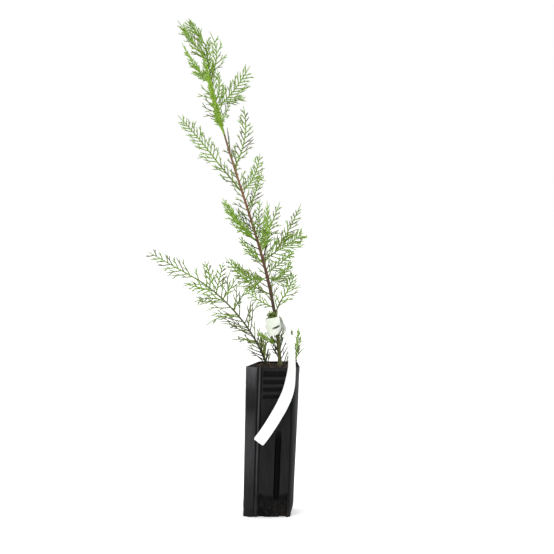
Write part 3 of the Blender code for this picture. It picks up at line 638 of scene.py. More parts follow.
compost = {
    "inset": 3.0 * mm, "edge": 197.0 * mm, "heap": 1.9 * mm, "cuts": 60, "bottom": 193 * mm,
    "relief": 0.75 * mm,
    "lumps": [(180, 1.0, 0), (480, 0.6, 3)],        # per metre, height, slice of the noise
    "bits": {                   # how many, smallest and largest size, how long for its width
        "compostCrumbs": (900, 0.7 * mm, 2.3 * mm, 1.2),
        "barkChips": (45, 1.2 * mm, 3.0 * mm, 2.3),
        "grit": (60, 0.7 * mm, 1.6 * mm, 1.1),
    },
    "flatness": (0.45, 0.8), "tilt": 0.35, "knobs": (0.72, 1.25), "mostlySmall": 2.2, "sunk": 0.2,
}


def compostPlace(u, v, lift=0.0):
    # A point of the heap, from its shares (-1 to 1) of the way across and back
    outline, half = pot["outline"], potHalf(compost["edge"])
    left = outline["front"][:1] + outline["folded"][::-1] + outline["left"][::-1] + outline["back"][1:]
    right = outline["front"][1:] + outline["right"] + outline["back"][:1]
    ends = []
    for side, inwards in ((left, 1), (right, -1)):
        across = np.interp(v, [back for _, back in side], [across for across, _ in side])
        ends.append(across * half + inwards * compost["inset"])
    x = ends[0] + (ends[1] - ends[0]) * (u + 1) / 2 + potShift(compost["edge"])
    y = v * (half - compost["inset"])
    lumps = sum(high * noise.noise(Vector((x, y, part)) * fine) for fine, high, part in compost["lumps"])
    heap = compost["heap"] * min(1.0, 2.6 * (1 - max(abs(u), abs(v))))
    return Vector((x, y, compost["edge"] + heap + compost["relief"] * lumps + lift))


def buildCompost():
    c = compost
    bpy.ops.mesh.primitive_grid_add(x_subdivisions=c["cuts"], y_subdivisions=c["cuts"], size=2)
    slab = newest("compostTop")
    for point in slab.data.vertices:
        point.co = compostPlace(point.co.x, point.co.y)
    openEdit(slab)
    bpy.ops.mesh.select_all(action="DESELECT")
    bpy.ops.mesh.select_non_manifold()
    bpy.ops.mesh.extrude_region_move(TRANSFORM_OT_translate={"value": (0, 0, -3 * mm)})
    bpy.ops.transform.resize(value=(1, 1, 0), center_override=(0, 0, c["bottom"]))
    bpy.ops.mesh.edge_face_add()
    faceOut()
    closeEdit()
    putInOrder(slab)
    smoothBelow(slab, 60)
    soil = compostBrown()
    seat(slab, soil, "compost")

    looks = {
        "compostCrumbs": soil,
        "barkChips": chipMaterial("chipRed", linear(40, 28, 20), linear(104, 74, 52)),
        "grit": chipMaterial("gritTan", linear(120, 104, 76), linear(196, 182, 148)),
    }
    bpy.ops.mesh.primitive_ico_sphere_add(subdivisions=1, radius=0.5)
    lump = newest("lump")
    points = np.array([point.co for point in lump.data.vertices])
    faces = np.array([face.vertices[:] for face in lump.data.polygons])
    bpy.data.objects.remove(lump)
    for name, (count, small, large, long) in c["bits"].items():
        dice = random.Random(name)
        shapes = []
        for _ in range(count):
            u, v = (dice.uniform(-1, 1) * 0.95 for _ in range(2))
            size = small + (large - small) * dice.random() ** c["mostlySmall"]
            scale = Vector((size * long, size, size * dice.uniform(*c["flatness"])))
            spin, tilt = dice.uniform(0, 2 * math.pi), dice.uniform(-c["tilt"], c["tilt"])
            knobs = np.array([dice.uniform(*c["knobs"]) for _ in points])[:, None]
            lumps = points * knobs * np.array(scale)
            level, high = lumps[:, 0] * math.cos(tilt), lumps[:, 0] * math.sin(tilt)
            place = compostPlace(u, v, c["sunk"] * size)
            shapes.append(np.stack([
                place.x + level * math.cos(spin) - lumps[:, 1] * math.sin(spin),
                place.y + level * math.sin(spin) + lumps[:, 1] * math.cos(spin),
                place.z + high + lumps[:, 2]], axis=1))
        seat(joinedMesh(name, shapes, [faces] * count), looks[name], "compost")
    dress(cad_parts["root_ball"], soil)
    print("compost: slab and", sum(bits[0] for bits in c["bits"].values()), "bits")


def joinedMesh(name, shapes, faceLists):
    # One mesh of many small closed shapes, each with its own points and faces
    points = np.concatenate(shapes)
    starts = np.cumsum([0] + [len(shape) for shape in shapes[:-1]])
    faces = np.concatenate([faces + start for faces, start in zip(faceLists, starts)])
    return meshFrom(name, points, faces)


def meshFrom(name, points, faces):
    mesh = bpy.data.meshes.new(name)
    corners = faces.shape[1]
    mesh.vertices.add(len(points))
    mesh.vertices.foreach_set("co", np.ascontiguousarray(points, dtype=np.float32).ravel())
    mesh.loops.add(faces.size)
    mesh.loops.foreach_set("vertex_index", np.ascontiguousarray(faces, dtype=np.int32).ravel())
    mesh.polygons.add(len(faces))
    mesh.polygons.foreach_set("loop_start", np.arange(0, faces.size, corners, dtype=np.int32))
    mesh.update(calc_edges=True)
    mesh.validate()
    piece = bpy.data.objects.new(name, mesh)
    bpy.context.scene.collection.objects.link(piece)
    return piece


# Stem and boughs: each follows one Bezier curve, as in the solid model

limbs = {
    "trunk": {"points": [(13.8, 0, 198.5), (7.5, 5, 357), (-64, -7, 463), (-83.7, 3, 622)],
              "foot": 2.4, "tip": 0.7},
    "low_left_bough": {"points": [(-3.8, -4, 198.5), (-14, -8, 236), (-50, -12, 287), (-98, -11, 316)],
                       "foot": 1.5, "tip": 0.85},
}
sideBoughs = {                  # height of the foot on the trunk, tip, how far the middle hangs, in mm
    "high_left_bough": (431, (-66, -8, 465), 0),
    "right_bough": (341, (10, -5, 352), 2),
    "left_bough": (294, (-20, 9, 303), 1),
    "lower_right_bough": (269, (16, -5, 287), 0),
    "base_right_bough": (202, (36.5, 9, 204), 0),
}
flare = {"radius": 1.5, "height": 9.0}
joins = {                       # in mm
    "clearance": 0.3,           # left by the solid model between a limb and what it carries
    "boughFoot": 1.1, "boughTip": 0.85, "boughSunk": 0.7,
    "stalkFoot": 1.25, "stalkSunk": 0.5, "stalkInTip": 1.5,
}


def onCurve(points, share):
    points = [np.array(point, float) for point in points]
    while len(points) > 1:
        points = [a + (b - a) * share for a, b in zip(points, points[1:])]
    return points[0]


def alongCurve(points, share):
    run = onCurve(points, share + 0.01) - onCurve(points, share - 0.01)
    return run / np.linalg.norm(run)


def shareAtHeight(points, height):
    low, high = 0.0, 1.0
    for _ in range(30):
        middle = (low + high) / 2
        if onCurve(points, middle)[2] < height:
            low = middle
        else:
            high = middle
    return low


def limbRadius(name, share):
    limb = limbs[name]
    radius = limb["foot"] + (limb["tip"] - limb["foot"]) * share
    if name == "trunk":
        climb = onCurve(limb["points"], share)[2] - limb["points"][0][2]
        radius += flare["radius"] * max(0.0, 1 - climb / flare["height"]) ** 2
    return radius


def unit(vector):
    return vector / max(np.linalg.norm(vector), 1e-12)


def footBeside(name, share, control, radius):
    # Where a bar that heads for the control point starts, just off the limb's bark
    points = limbs[name]["points"]
    axis, centre = alongCurve(points, share), onCurve(points, share)
    out = control - centre
    out = unit(out - axis * out.dot(axis))
    foot = centre
    for _ in range(3):
        lift = abs(unit(control - foot).dot(axis))
        foot = centre + out * (limbRadius(name, share) + joins["clearance"] + radius * lift)
    return foot


def addSideBoughs():
    for name, (height, tip, sag) in sideBoughs.items():
        share = shareAtHeight(limbs["trunk"]["points"], height)
        tip = np.array(tip, float)
        centre = onCurve(limbs["trunk"]["points"], share)
        control = (centre + tip) / 2 - np.array((0, 0, 2.0 * sag))
        # The scene's bough is sunk into the bark, where the solid one stops just short of it
        root = footBeside("trunk", share, control, joins["boughFoot"])
        root += unit(centre - root) * (joins["clearance"] + joins["boughSunk"])
        limbs[name] = {"points": [root, control, tip], "foot": joins["boughFoot"], "tip": joins["boughTip"]}


bark = {
    "sides": 20, "boughSides": 14, "step": 0.6,         # mm between rings
    "scaleRows": 4, "scalePitch": 6.5,                  # old leaf bases: rows, and mm between two of a row
    "scaleWide": 0.72, "scaleDepth": 0.13, "scaleLevel": 0.4,
    "fissure": 0.08, "fissureFine": (2.2, 0.28),        # round the limb, and along it
    "knot": 0.55, "boughKnot": 0.715, "knotLong": 1.9,
}


def scaleRelief(angle, height):
    # How far an old leaf base stands out here, from 0 to 1
    relief = 0.0
    for row in range(bark["scaleRows"]):
        turn = (angle - row * math.pi / 2 + math.pi) % (2 * math.pi) - math.pi
        climb = (height / bark["scalePitch"] + 0.5 * (row % 2)) % 1
        wide = bark["scaleWide"] * math.sin(math.pi * min(1.0, climb * 1.15)) ** 0.5
        if wide > 0 and abs(turn) < wide:
            relief = max(relief, (1 - (turn / wide) ** 2) * (0.35 + 0.65 * climb))
    return relief


def buildLimb(name, material, knots):
    # A cylinder cut into rings, bent along its curve, with old leaf bases, fissures and knots raised on it
    limb = limbs[name]
    stops = np.linspace(0, 1, 60)
    length = sum(np.linalg.norm(onCurve(limb["points"], b) - onCurve(limb["points"], a))
                 for a, b in zip(stops, stops[1:]))
    sides = bark["sides" if name == "trunk" else "boughSides"]
    bpy.ops.mesh.primitive_cylinder_add(vertices=sides, radius=1, depth=1, location=(0, 0, 0.5))
    piece = newest(name + "Bark")
    applyPlace(piece)
    openEdit(piece)
    bpy.ops.mesh.select_mode(type="EDGE")
    shape = bmesh.from_edit_mesh(piece.data)
    for edge in shape.edges:
        edge.select_set(abs(edge.verts[0].co.z - edge.verts[1].co.z) > 0.5)
    bmesh.update_edit_mesh(piece.data)
    bpy.ops.mesh.subdivide(number_cuts=max(8, int(length / bark["step"])))
    closeEdit()

    seed = sum(map(ord, name))
    fineRound, fineAlong = bark["fissureFine"]
    centres = {}
    for point in piece.data.vertices:
        share = round(point.co.z, 6)
        if share not in centres:
            along = alongCurve(limb["points"], share)
            side = unit(np.array((1.0, 0, 0)) - along * along[0])
            centres[share] = (onCurve(limb["points"], share), side, np.cross(along, side),
                              limbRadius(name, share))
        centre, side, up, radius = centres[share]
        angle = math.atan2(point.co.y, point.co.x)
        facing = side * math.cos(angle) + up * math.sin(angle)
        height = share * length
        relief = bark["scaleDepth"] * (scaleRelief(angle, height) - bark["scaleLevel"])
        spot = Vector((math.cos(angle) * fineRound, math.sin(angle) * fineRound, height * fineAlong + seed))
        crack = noise.noise(spot) + 0.5 * noise.noise(spot * 2.7)
        relief = relief * min(1.0, 0.3 + share * 3) + bark["fissure"] * crack * (1 - 0.5 * share)
        grown = radius * (1 + relief)
        for knotShare, direction, size in knots:
            away = (share - knotShare) * length / bark["knotLong"]
            if abs(away) < 3:
                grown += size * math.exp(-away * away) * max(0.0, facing.dot(direction)) ** 3
        # The two ends stay round, where the compost and the leader close them
        if share <= 0 or share >= 1:
            grown = radius
        point.co = Vector(centre + facing * grown) * mm
    piece.data.update()
    smoothBelow(piece, 70)
    seat(piece, material, "bark", name)


def knotsOnLimbs():
    # A swelling where each spray or bough stands on its limb: share, direction, size
    knots = {name: [] for name in limbs}
    feet = [(spray[1], spray[2], spray[3], bark["knot"]) for spray in sprays if spray[2] is not fromTip]
    feet += [("trunk", height, end, bark["boughKnot"]) for height, end, _ in sideBoughs.values()]
    for name, height, end, size in feet:
        share = shareAtHeight(limbs[name]["points"], height)
        away = np.array(end, float) - onCurve(limbs[name]["points"], share)
        knots[name].append((share, unit(away), size))
    return knots


# Foliage: flat sprays. Branchlets stand on alternate sides of a stalk, twiglets on the branchlets, and
# scale leaves in crossed pairs cover every one of them

fromTip = None
foliage = {
    "stalkWidth": (1.15, 0.7),  # half width of a stalk at its foot and tip, in mm
    "branchWidth": (1.0, 0.6), "twigWidth": (0.85, 0.52),
    "flatness": 0.62,           # thickness of a strand for its width
    "branchPitch": 3.75, "branchAngle": 46, "angleSpread": 9,
    "twigPitch": 6.0, "twigAngle": 32, "twigSpread": 6, "twigLength": (0.26, 0.46),
    "twigFrom": 0.3, "twigTo": 0.92, "twigPlace": 0.6, "twigLift": 0.25, "twigMore": 0.8,
    "turnIn": 0.28, "bendAt": 0.45,                 # how much of its angle a strand loses, and where
    "strandStep": 3.5, "stalkStep": 5,              # mm between a strand's points
    "bare": 0.06, "leafy": 0.9, "placeSpread": 0.4, "planeSpread": 0.24,
    "footFullness": 0.72, "rise": 1.6, "fall": 0.5,
    "reachSpread": (0.74, 1.14), "shortest": 3.6, "shortestTwig": 2.88,
    "limbSpread": 12, "footInBark": 0.6,            # of the strands that stand on a limb itself
    "bareness": {"dark": 0.35, "olive": 0.55},      # old inner strands have lost most of their twiglets
    "darker": 0.45, "paler": 0.5,                   # how often a strand is a step off its spray's green
    "rimRoom": 2.0, "room": 0.7, "labelRoom": 1.6,  # mm that twigs keep clear by
}
leaf = {
    "pitch": 1.4, "pitchGain": 0.5,                 # mm between pairs, and how it follows the strand's width
    "length": 2.2, "lengthGain": 0.55,
    "first": 0.35, "thinFrom": 0.7, "thinning": 0.35,
    "sideFlat": 0.9, "frontFlat": 0.72, "core": 0.6,
    # The five points: how far out, across and along, and its six faces
    "points": [(0.45, 0, -0.12), (0.36, 1, 0.42), (0.36, -1, 0.42), (1.0, 0, 0.4), (0.72, 0, 1)],
    "faces": [(0, 1, 3), (1, 4, 3), (4, 2, 3), (2, 0, 3), (0, 2, 4), (0, 4, 1)],
}
# Sprays that grow unlike the others: how many times the branchlets, their angle and its spread, how far
# they stand out of the spray's plane, and where on the stalk the last one stands
habits = {
    "leader_spray": (1.8, 27, 10, 0.4, 0.8), "top_left_spray": (1.6, 30, 12, 0.4, 0.8),
    "top_left_low_spray": (1.5, 28, 10, 0.3, 0.88), "top_front_spray": (1.0, 40, 14, 0.3, 0.8),
    "upper_right_spray": (1.45, 48, 8, 0.25, 0.9), "upper_front_spray": (1.2, 40, 12, 0.3, 0.9),
    "front_dense_spray": (2.4, 20, 10, 0.5, 0.94), "left_dense_spray": (2.0, 24, 9, 0.4, 0.9),
    "high_left_spray": (1.4, 50, 12, 0.25, 0.88), "right_upper_spray": (1.5, 46, 10, 0.3, 0.92),
    "middle_front_spray": (1.5, 34, 10, 0.35, 0.9), "middle_right_spray": (1.1, 46, 10, 0.3, 0.9),
    "right_low_spray": (2.0, 44, 10, 0.35, 0.92), "right_high_spray": (1.2, 42, 8, 0.25, 0.9),
    "right_small_spray": (1.2, 44, 10, 0.3, 0.9), "right_hanging_spray": (2.0, 40, 12, 0.35, 0.92),
    "lower_right_spray": (1.4, 44, 10, 0.3, 0.9), "left_low_spray": (1.9, 38, 12, 0.4, 0.86),
    "left_small_spray": (1.4, 30, 8, 0.3, 0.88), "base_right_spray_1": (1.7, 32, 12, 0.4, 0.85),
    "base_right_spray_2": (1.6, 34, 12, 0.4, 0.9), "base_tuft": (2.6, 46, 16, 0.6, 0.95),
    "loop_tuft": (6, 56, 22, 0.9, 0.97),
    "bough_tip_spray": (0.95, 42, 10, 0.25, 0.9), "bough_lower_spray_2": (0.8, 38, 10, 0.3, 0.85),
    "bough_lower_spray_3": (0.55, 36, 10, 0.3, 0.8), "bough_lower_spray_4": (0.5, 36, 10, 0.3, 0.8),
    "bough_lower_spray_5": (0.5, 36, 10, 0.3, 0.8), "bough_upper_spray_3": (0.7, 38, 10, 0.3, 0.85),
    "bough_upper_spray_4": (0.4, 36, 10, 0.3, 0.8), "bough_upper_spray_5": (0.4, 36, 10, 0.3, 0.8),
}

greens = {                      # screen colours: the leaf and its paler patches
    "bright": ((152, 194, 62), (176, 210, 96)),
    "fresh": ((140, 182, 60), (162, 202, 86)),
    "mid": ((136, 176, 58), (156, 194, 76)),
    "dull": ((132, 156, 72), (152, 174, 92)),
    "olive": ((100, 104, 58), (126, 128, 72)),
    "deep": ((76, 104, 48), (98, 126, 62)),
    "dark": ((50, 56, 32), (76, 86, 48)),
}
paleOrder = ["dark", "deep", "olive", "dull", "mid", "fresh", "bright"]

# Name, limb, height of the foot (fromTip: it goes on from the limb's tip), tip, how far the middle hangs
# and lies to the right, length of the longest branchlets (mm), way it faces (degrees round from the
# viewer towards +X), green
sprays = [
    ("leader_spray", "trunk", fromTip, (-108, -4, 652), 0, 0, 21, 0, "mid"),
    ("top_left_spray", "trunk", 599, (-119, -12, 651), 0, 0, 23, 10, "mid"),
    ("top_front_spray", "trunk", 580, (-77, -16, 636), 0, 8, 21, -20, "mid"),
    ("top_left_low_spray", "trunk", 572, (-113, -22, 622), 8, 0, 18, 15, "fresh"),
    ("top_back_spray", "trunk", 563, (-88, 42, 604), 4, 0, 17, 85, "deep"),
    ("upper_front_spray", "trunk", 548, (-67, -34, 588), 3, 4, 18, -35, "fresh"),
    ("upper_right_spray", "trunk", 540, (-25, -12, 593), 6, 0, 28, 0, "mid"),
    ("upper_back_spray", "trunk", 521, (-50, 38, 556), 5, 0, 18, 60, "dull"),
    ("front_dense_spray", "trunk", 503, (-82, -40, 598), 8, 0, 19, 5, "bright"),
    ("high_left_spray", "high_left_bough", fromTip, (-119, -22, 529), -2, 0, 23, 0, "mid"),
    ("high_left_back_spray", "trunk", 450, (-46, 42, 492), 5, 0, 18, 60, "dull"),
    ("high_right_spray", "trunk", 462, (-34, -18, 541), 0, 8, 23, 0, "dull"),
    ("high_back_spray", "trunk", 472, (-57, 48, 514), 5, 0, 20, 95, "deep"),
    ("right_upper_spray", "trunk", 431, (-13, 18, 478), 6, 4, 23, -15, "mid"),
    ("right_front_spray", "trunk", 405, (-9, -20, 458), 3, 0, 17, 10, "dull"),
    ("left_dense_spray", "trunk", 366, (-61, -34, 422), 7, 0, 25, 10, "fresh"),
    ("left_back_spray", "trunk", 376, (-46, 44, 406), 5, 0, 20, 110, "deep"),
    ("middle_up_spray", "trunk", 371, (-12, -28, 421), 2, 0, 18, 25, "mid"),
    ("middle_front_spray", "trunk", 350, (-3, -36, 418), 5, 3, 19, -10, "fresh"),
    ("middle_right_spray", "trunk", 358, (14, 12, 416), 6, 0, 22, 0, "dull"),
    ("right_low_spray", "right_bough", fromTip, (45, -14, 377), 2, 0, 26, 0, "mid"),
    ("right_high_spray", "right_bough", 350, (42, 14, 413), 4, 0, 19, -10, "dull"),
    ("right_small_spray", "trunk", 322, (33, 24, 350), 2, 0, 18, 0, "mid"),
    ("right_hanging_spray", "trunk", 315, (31, -22, 341), 11, 0, 20, -10, "mid"),
    ("left_small_spray", "trunk", 336, (-41, -8, 370), 2, 0, 18, 0, "mid"),
    ("left_low_spray", "trunk", 316, (-53, -22, 343), 12, 0, 25, 10, "mid"),
    ("left_bough_spray", "left_bough", fromTip, (-59, 18, 341), 3, 0, 18, -10, "dull"),
    ("lower_right_spray", "lower_right_bough", fromTip, (32, -12, 323), 0, 3, 21, 0, "mid"),
    ("lower_left_spray", "trunk", 277, (-35, -26, 305), 3, 0, 16, 15, "mid"),
    ("middle_back_spray", "trunk", 328, (-6, 50, 366), 5, 0, 21, 80, "deep"),
    ("lower_back_spray", "trunk", 284, (2, 48, 318), 5, 0, 19, 100, "deep"),
    ("loop_tuft", "trunk", 261, (-1, -10, 270), 0, 0, 10, 0, "dull"),
    ("bough_tip_spray", "low_left_bough", fromTip, (-160, -12, 351), 0, 0, 25, 0, "dull"),
    ("bough_upper_spray_1", "low_left_bough", 303, (-86, -2, 338), 0, 3, 17, 0, "dull"),
    ("bough_upper_spray_2", "low_left_bough", 296, (-61, 8, 336), 0, 0, 16, -15, "dull"),
    ("bough_upper_spray_3", "low_left_bough", 288, (-43, -18, 317), 1, 0, 15, 15, "dull"),
    ("bough_upper_spray_4", "low_left_bough", 274, (-31, 4, 300), 1, 0, 12, 0, "dull"),
    ("bough_upper_spray_5", "low_left_bough", 250, (-24, -20, 281), 0, 0, 11, 10, "olive"),
    ("bough_lower_spray_1", "low_left_bough", 300, (-108, -28, 309), 0, 0, 16, 0, "mid"),
    ("bough_lower_spray_2", "low_left_bough", 287, (-101, 6, 282), -4, 0, 18, 0, "mid"),
    ("bough_lower_spray_3", "low_left_bough", 265, (-83, -26, 255), -6, 0, 15, 10, "dull"),
    ("bough_lower_spray_4", "low_left_bough", 246, (-63, 6, 254), -2, 0, 14, 0, "olive"),
    ("bough_lower_spray_5", "low_left_bough", 231, (-50, -24, 236), -2, 0, 12, 5, "olive"),
    ("base_left_spray", "low_left_bough", 211, (-17, 14, 241), 0, 0, 9, 20, "deep"),
    ("base_tuft", "trunk", 229, (-16, -15, 243), 0, 0, 11, 0, "fresh"),
    ("base_right_spray_1", "base_right_bough", fromTip, (39, 8, 249), 0, 0, 12, 0, "mid"),
    ("base_right_spray_2", "base_right_bough", 203, (28.5, 6, 248), 0, 3, 9, 0, "olive"),
    ("base_right_back_spray", "trunk", 236, (12, 40, 250), 3, 0, 15, 75, "deep"),
    ("base_left_back_spray", "trunk", 216, (-6, 36, 248), 3, 0, 15, 110, "deep"),
]


def stalkCurve(spray):
    limb, height, end, sag, sway = spray[1:6]
    end = np.array(end, float)
    bow = np.array((sway, 0, -sag), float)
    points = limbs[limb]["points"]
    if height is fromTip:
        start = np.array(points[-1], float)
        root = start - alongCurve(points, 1) * joins["stalkInTip"]
        return [root, (start + end) / 2 + bow * 2, end]
    share = shareAtHeight(points, height)
    centre = onCurve(points, share)
    control = (centre + end) / 2 + bow * 2
    root = footBeside(limb, share, control, joins["stalkFoot"])
    return [root + unit(centre - root) * (joins["clearance"] + joins["stalkSunk"]), control, end]


class Room:
    # The bars of the limbs and the label, which twigs keep clear of

    def __init__(self, labelStops):
        bars = []
        for name, limb in limbs.items():
            steps = 24 if name == "trunk" else 12
            stops = [onCurve(limb["points"], i / steps) for i in range(steps + 1)]
            bars += [(*stops[i], *stops[i + 1], limbRadius(name, i / steps)) for i in range(steps)]
        for middle, lie, width in labelStops:
            edge = unit(lie) * width / 2
            bars.append((*(middle - edge), *(middle + edge), foliage["labelRoom"]))
        bars = np.array(bars)
        self.start, self.run, self.girth = bars[:, :3], bars[:, 3:6] - bars[:, :3], bars[:, 6]
        self.length = (self.run**2).sum(1)

    def isFree(self, line):
        for point in line:
            if point[2] < pot["height"] / mm + foliage["rimRoom"]:
                return False
            share = np.clip(((point - self.start) * self.run).sum(1) / self.length, 0, 1)
            gap = np.linalg.norm(self.start + self.run * share[:, None] - point, axis=1) - self.girth
            if gap.min() < foliage["room"]:
                return False
        return True


class Crown:
    # Collects the strands' leaves by green, and their cores

    def __init__(self):
        self.leaves = {green: [] for green in greens}
        self.cores = []
        self.length = 0.0

    def add(self, line, side, foot, end, green):
        # line runs along the strand; side lies across it in the spray's plane
        steps = np.linalg.norm(np.diff(line, axis=0), axis=1)
        marks = np.concatenate([[0], np.cumsum(steps)])
        length = marks[-1]
        self.length += length
        self.addCore(line, side, foot, end)
        size = (foot + end) / 2 / foliage["branchWidth"][0]
        pitch = leaf["pitch"] * (1 - leaf["pitchGain"] * (1 - size))
        count = max(2, int(length / pitch))
        spots = (np.arange(count) + leaf["first"]) * pitch

        def placesAt(runs):
            return np.stack([np.interp(runs, marks, line[:, k]) for k in range(3)], 1)

        along = placesAt(np.minimum(spots + 0.5, length)) - placesAt(spots - 0.5)
        along /= np.linalg.norm(along, axis=1)[:, None]
        across = side - along * (along @ side)[:, None]
        across /= np.linalg.norm(across, axis=1)[:, None]
        front = np.cross(across, along)
        half = foot + (end - foot) * (spots / length)
        last = np.clip((spots / length - leaf["thinFrom"]) / (1 - leaf["thinFrom"]), 0, 1)
        half *= 1 - leaf["thinning"] * last ** 2
        reach = leaf["length"] * (1 - leaf["lengthGain"] * (1 - size)) * np.ones(count)
        lateral = np.arange(count) % 2 == 0
        for sign in (-1, 1):
            out = np.where(lateral[:, None], across, front) * sign
            thick = np.where(lateral, half, half * foliage["flatness"])
            wide = half * np.where(lateral, foliage["flatness"] * leaf["sideFlat"], leaf["frontFlat"])
            self.leaves[green].append((placesAt(spots), along, out, thick, wide, reach))

    def addCore(self, line, side, foot, end):
        shares = np.linspace(0, 1, len(line))
        rings = []
        for i, point in enumerate(line[:-1]):
            along = unit(line[i + 1] - point)
            across = unit(side - along * along.dot(side))
            front = np.cross(across, along)
            half = (foot + (end - foot) * shares[i]) * leaf["core"]
            flat = half * foliage["flatness"]
            rings.append([point + across * half, point + front * flat, point - across * half,
                          point - front * flat])
        count = len(rings)
        points = np.array([spot for ring in rings for spot in ring] + [line[-1]])
        faces = [(0, 1, 2), (0, 2, 3)]
        for k in range(count - 1):
            for i in range(4):
                j = (i + 1) % 4
                a, b, c, d = 4 * k + i, 4 * k + j, 4 * k + 4 + j, 4 * k + 4 + i
                faces += [(a, c, b), (a, d, c)]
        last = 4 * (count - 1)
        faces += [(last + i, 4 * count, last + (i + 1) % 4) for i in range(4)]
        self.cores.append((points, np.array(faces)))


def leafShapes(rows):
    # The points and faces of pointed, keeled scale leaves
    place, along, out, thick, wide, reach = (np.concatenate([row[k] for row in rows]) for k in range(6))
    out, across, along = out * thick[:, None], np.cross(along, out) * wide[:, None], along * reach[:, None]
    corners = [place + out * high + across * aside + along * ahead for high, aside, ahead in leaf["points"]]
    points = np.stack(corners, 1).reshape(-1, 3) * mm
    faces = np.array(leaf["faces"])[None] + len(corners) * np.arange(len(place))[:, None, None]
    return points, faces.reshape(-1, 3)


def lineOf(curve, steps):
    return np.array([onCurve(curve, i / steps) for i in range(steps + 1)])


def strandLine(root, along, outward, angle, reach):
    # Sets off at the angle from its carrier's run and turns in towards it
    angle = math.radians(angle)
    first = along * math.cos(angle) + outward * math.sin(angle)
    angle *= 1 - foliage["turnIn"]
    last = along * math.cos(angle) + outward * math.sin(angle)
    bend = root + first * reach * foliage["bendAt"]
    end = bend + last * reach * (1 - foliage["bendAt"])
    return lineOf([root, bend, end], max(3, round(reach / foliage["strandStep"])))


def onLine(line, place):
    # Point and run at a share of a line of points
    spot = place * (len(line) - 1)
    k = min(int(spot), len(line) - 2)
    return line[k] + (line[k + 1] - line[k]) * (spot - k), unit(line[k + 1] - line[k])


def stepPaler(green, step):
    return paleOrder[min(max(paleOrder.index(green) + step, 0), len(paleOrder) - 1)]


def shade(green, share, dice):
    # Inner strands may be a step darker, and outer ones a step paler
    if dice.random() < foliage["darker"] * (1 - share):
        return stepPaler(green, -1)
    return stepPaler(green, 1 if dice.random() < foliage["paler"] * share else 0)


def growTwiglets(line, across, tint, dice, crown, room):
    f = foliage
    reach = np.linalg.norm(line[-1] - line[0])
    normal = unit(np.cross(across, line[-1] - line[0]))
    leafy = f["twigTo"] - f["twigFrom"]
    count = int(reach * leafy / f["twigPitch"] + dice.random() * f["twigMore"])
    count = round(count * f["bareness"].get(tint, 1.0))
    turn = dice.choice((-1, 1))
    for j in range(count):
        place = f["twigFrom"] + leafy * (j + f["twigPlace"] * dice.random()) / count
        turn = -turn
        root, run = onLine(line, place)
        beside = unit(np.cross(run, normal) * turn + normal * f["twigLift"] * dice.uniform(-1, 1))
        size = max(f["shortestTwig"], reach * dice.uniform(*f["twigLength"]))
        twig = strandLine(root, run, beside, f["twigAngle"] + f["twigSpread"] * dice.uniform(-1, 1), size)
        if room.isFree(twig[1:]):
            crown.add(twig, beside, *f["twigWidth"], shade(tint, place, dice))


def growSpray(spray, crown, room):
    f = foliage
    name, breadth, facing, green = spray[0], spray[6], math.radians(spray[7]), spray[8]
    dice = random.Random(name)
    curve = stalkCurve(spray)
    length = np.linalg.norm(np.diff(lineOf(curve, 16), axis=0), axis=1).sum()
    chord = unit(curve[-1] - curve[0])
    across = unit(np.cross(chord, np.array((math.sin(facing), -math.cos(facing), 0))))
    normal = unit(np.cross(across, chord))
    stalk = lineOf(curve, max(4, round(length / f["stalkStep"])))
    crown.add(stalk, across, *f["stalkWidth"], stepPaler(green, 1))

    usual = (1, f["branchAngle"], f["angleSpread"], f["planeSpread"], f["leafy"])
    full, leaning, spread, depth, last = habits.get(name, usual)
    leafy = last - f["bare"]
    count = max(4, round(length * leafy * full / f["branchPitch"]))
    for i in range(count):
        share = f["bare"] + leafy * (i + f["placeSpread"] * dice.random()) / count
        along = alongCurve(curve, share)
        outward = unit(across * (1 if i % 2 else -1) + normal * depth * 2 * dice.uniform(-1, 1))
        fullness = min(1.0, f["footFullness"] + f["rise"] * share) * (1 - share) ** f["fall"]
        reach = max(f["shortest"], breadth * fullness * dice.uniform(*f["reachSpread"]))
        angle = leaning + spread * dice.uniform(-1, 1)
        line = strandLine(onCurve(curve, share), along, outward, angle, reach)
        tint = shade(green, share, dice)
        if room.isFree(line[1:]):
            crown.add(line, outward, *f["branchWidth"], tint)
            growTwiglets(line, outward, tint, dice, crown, room)


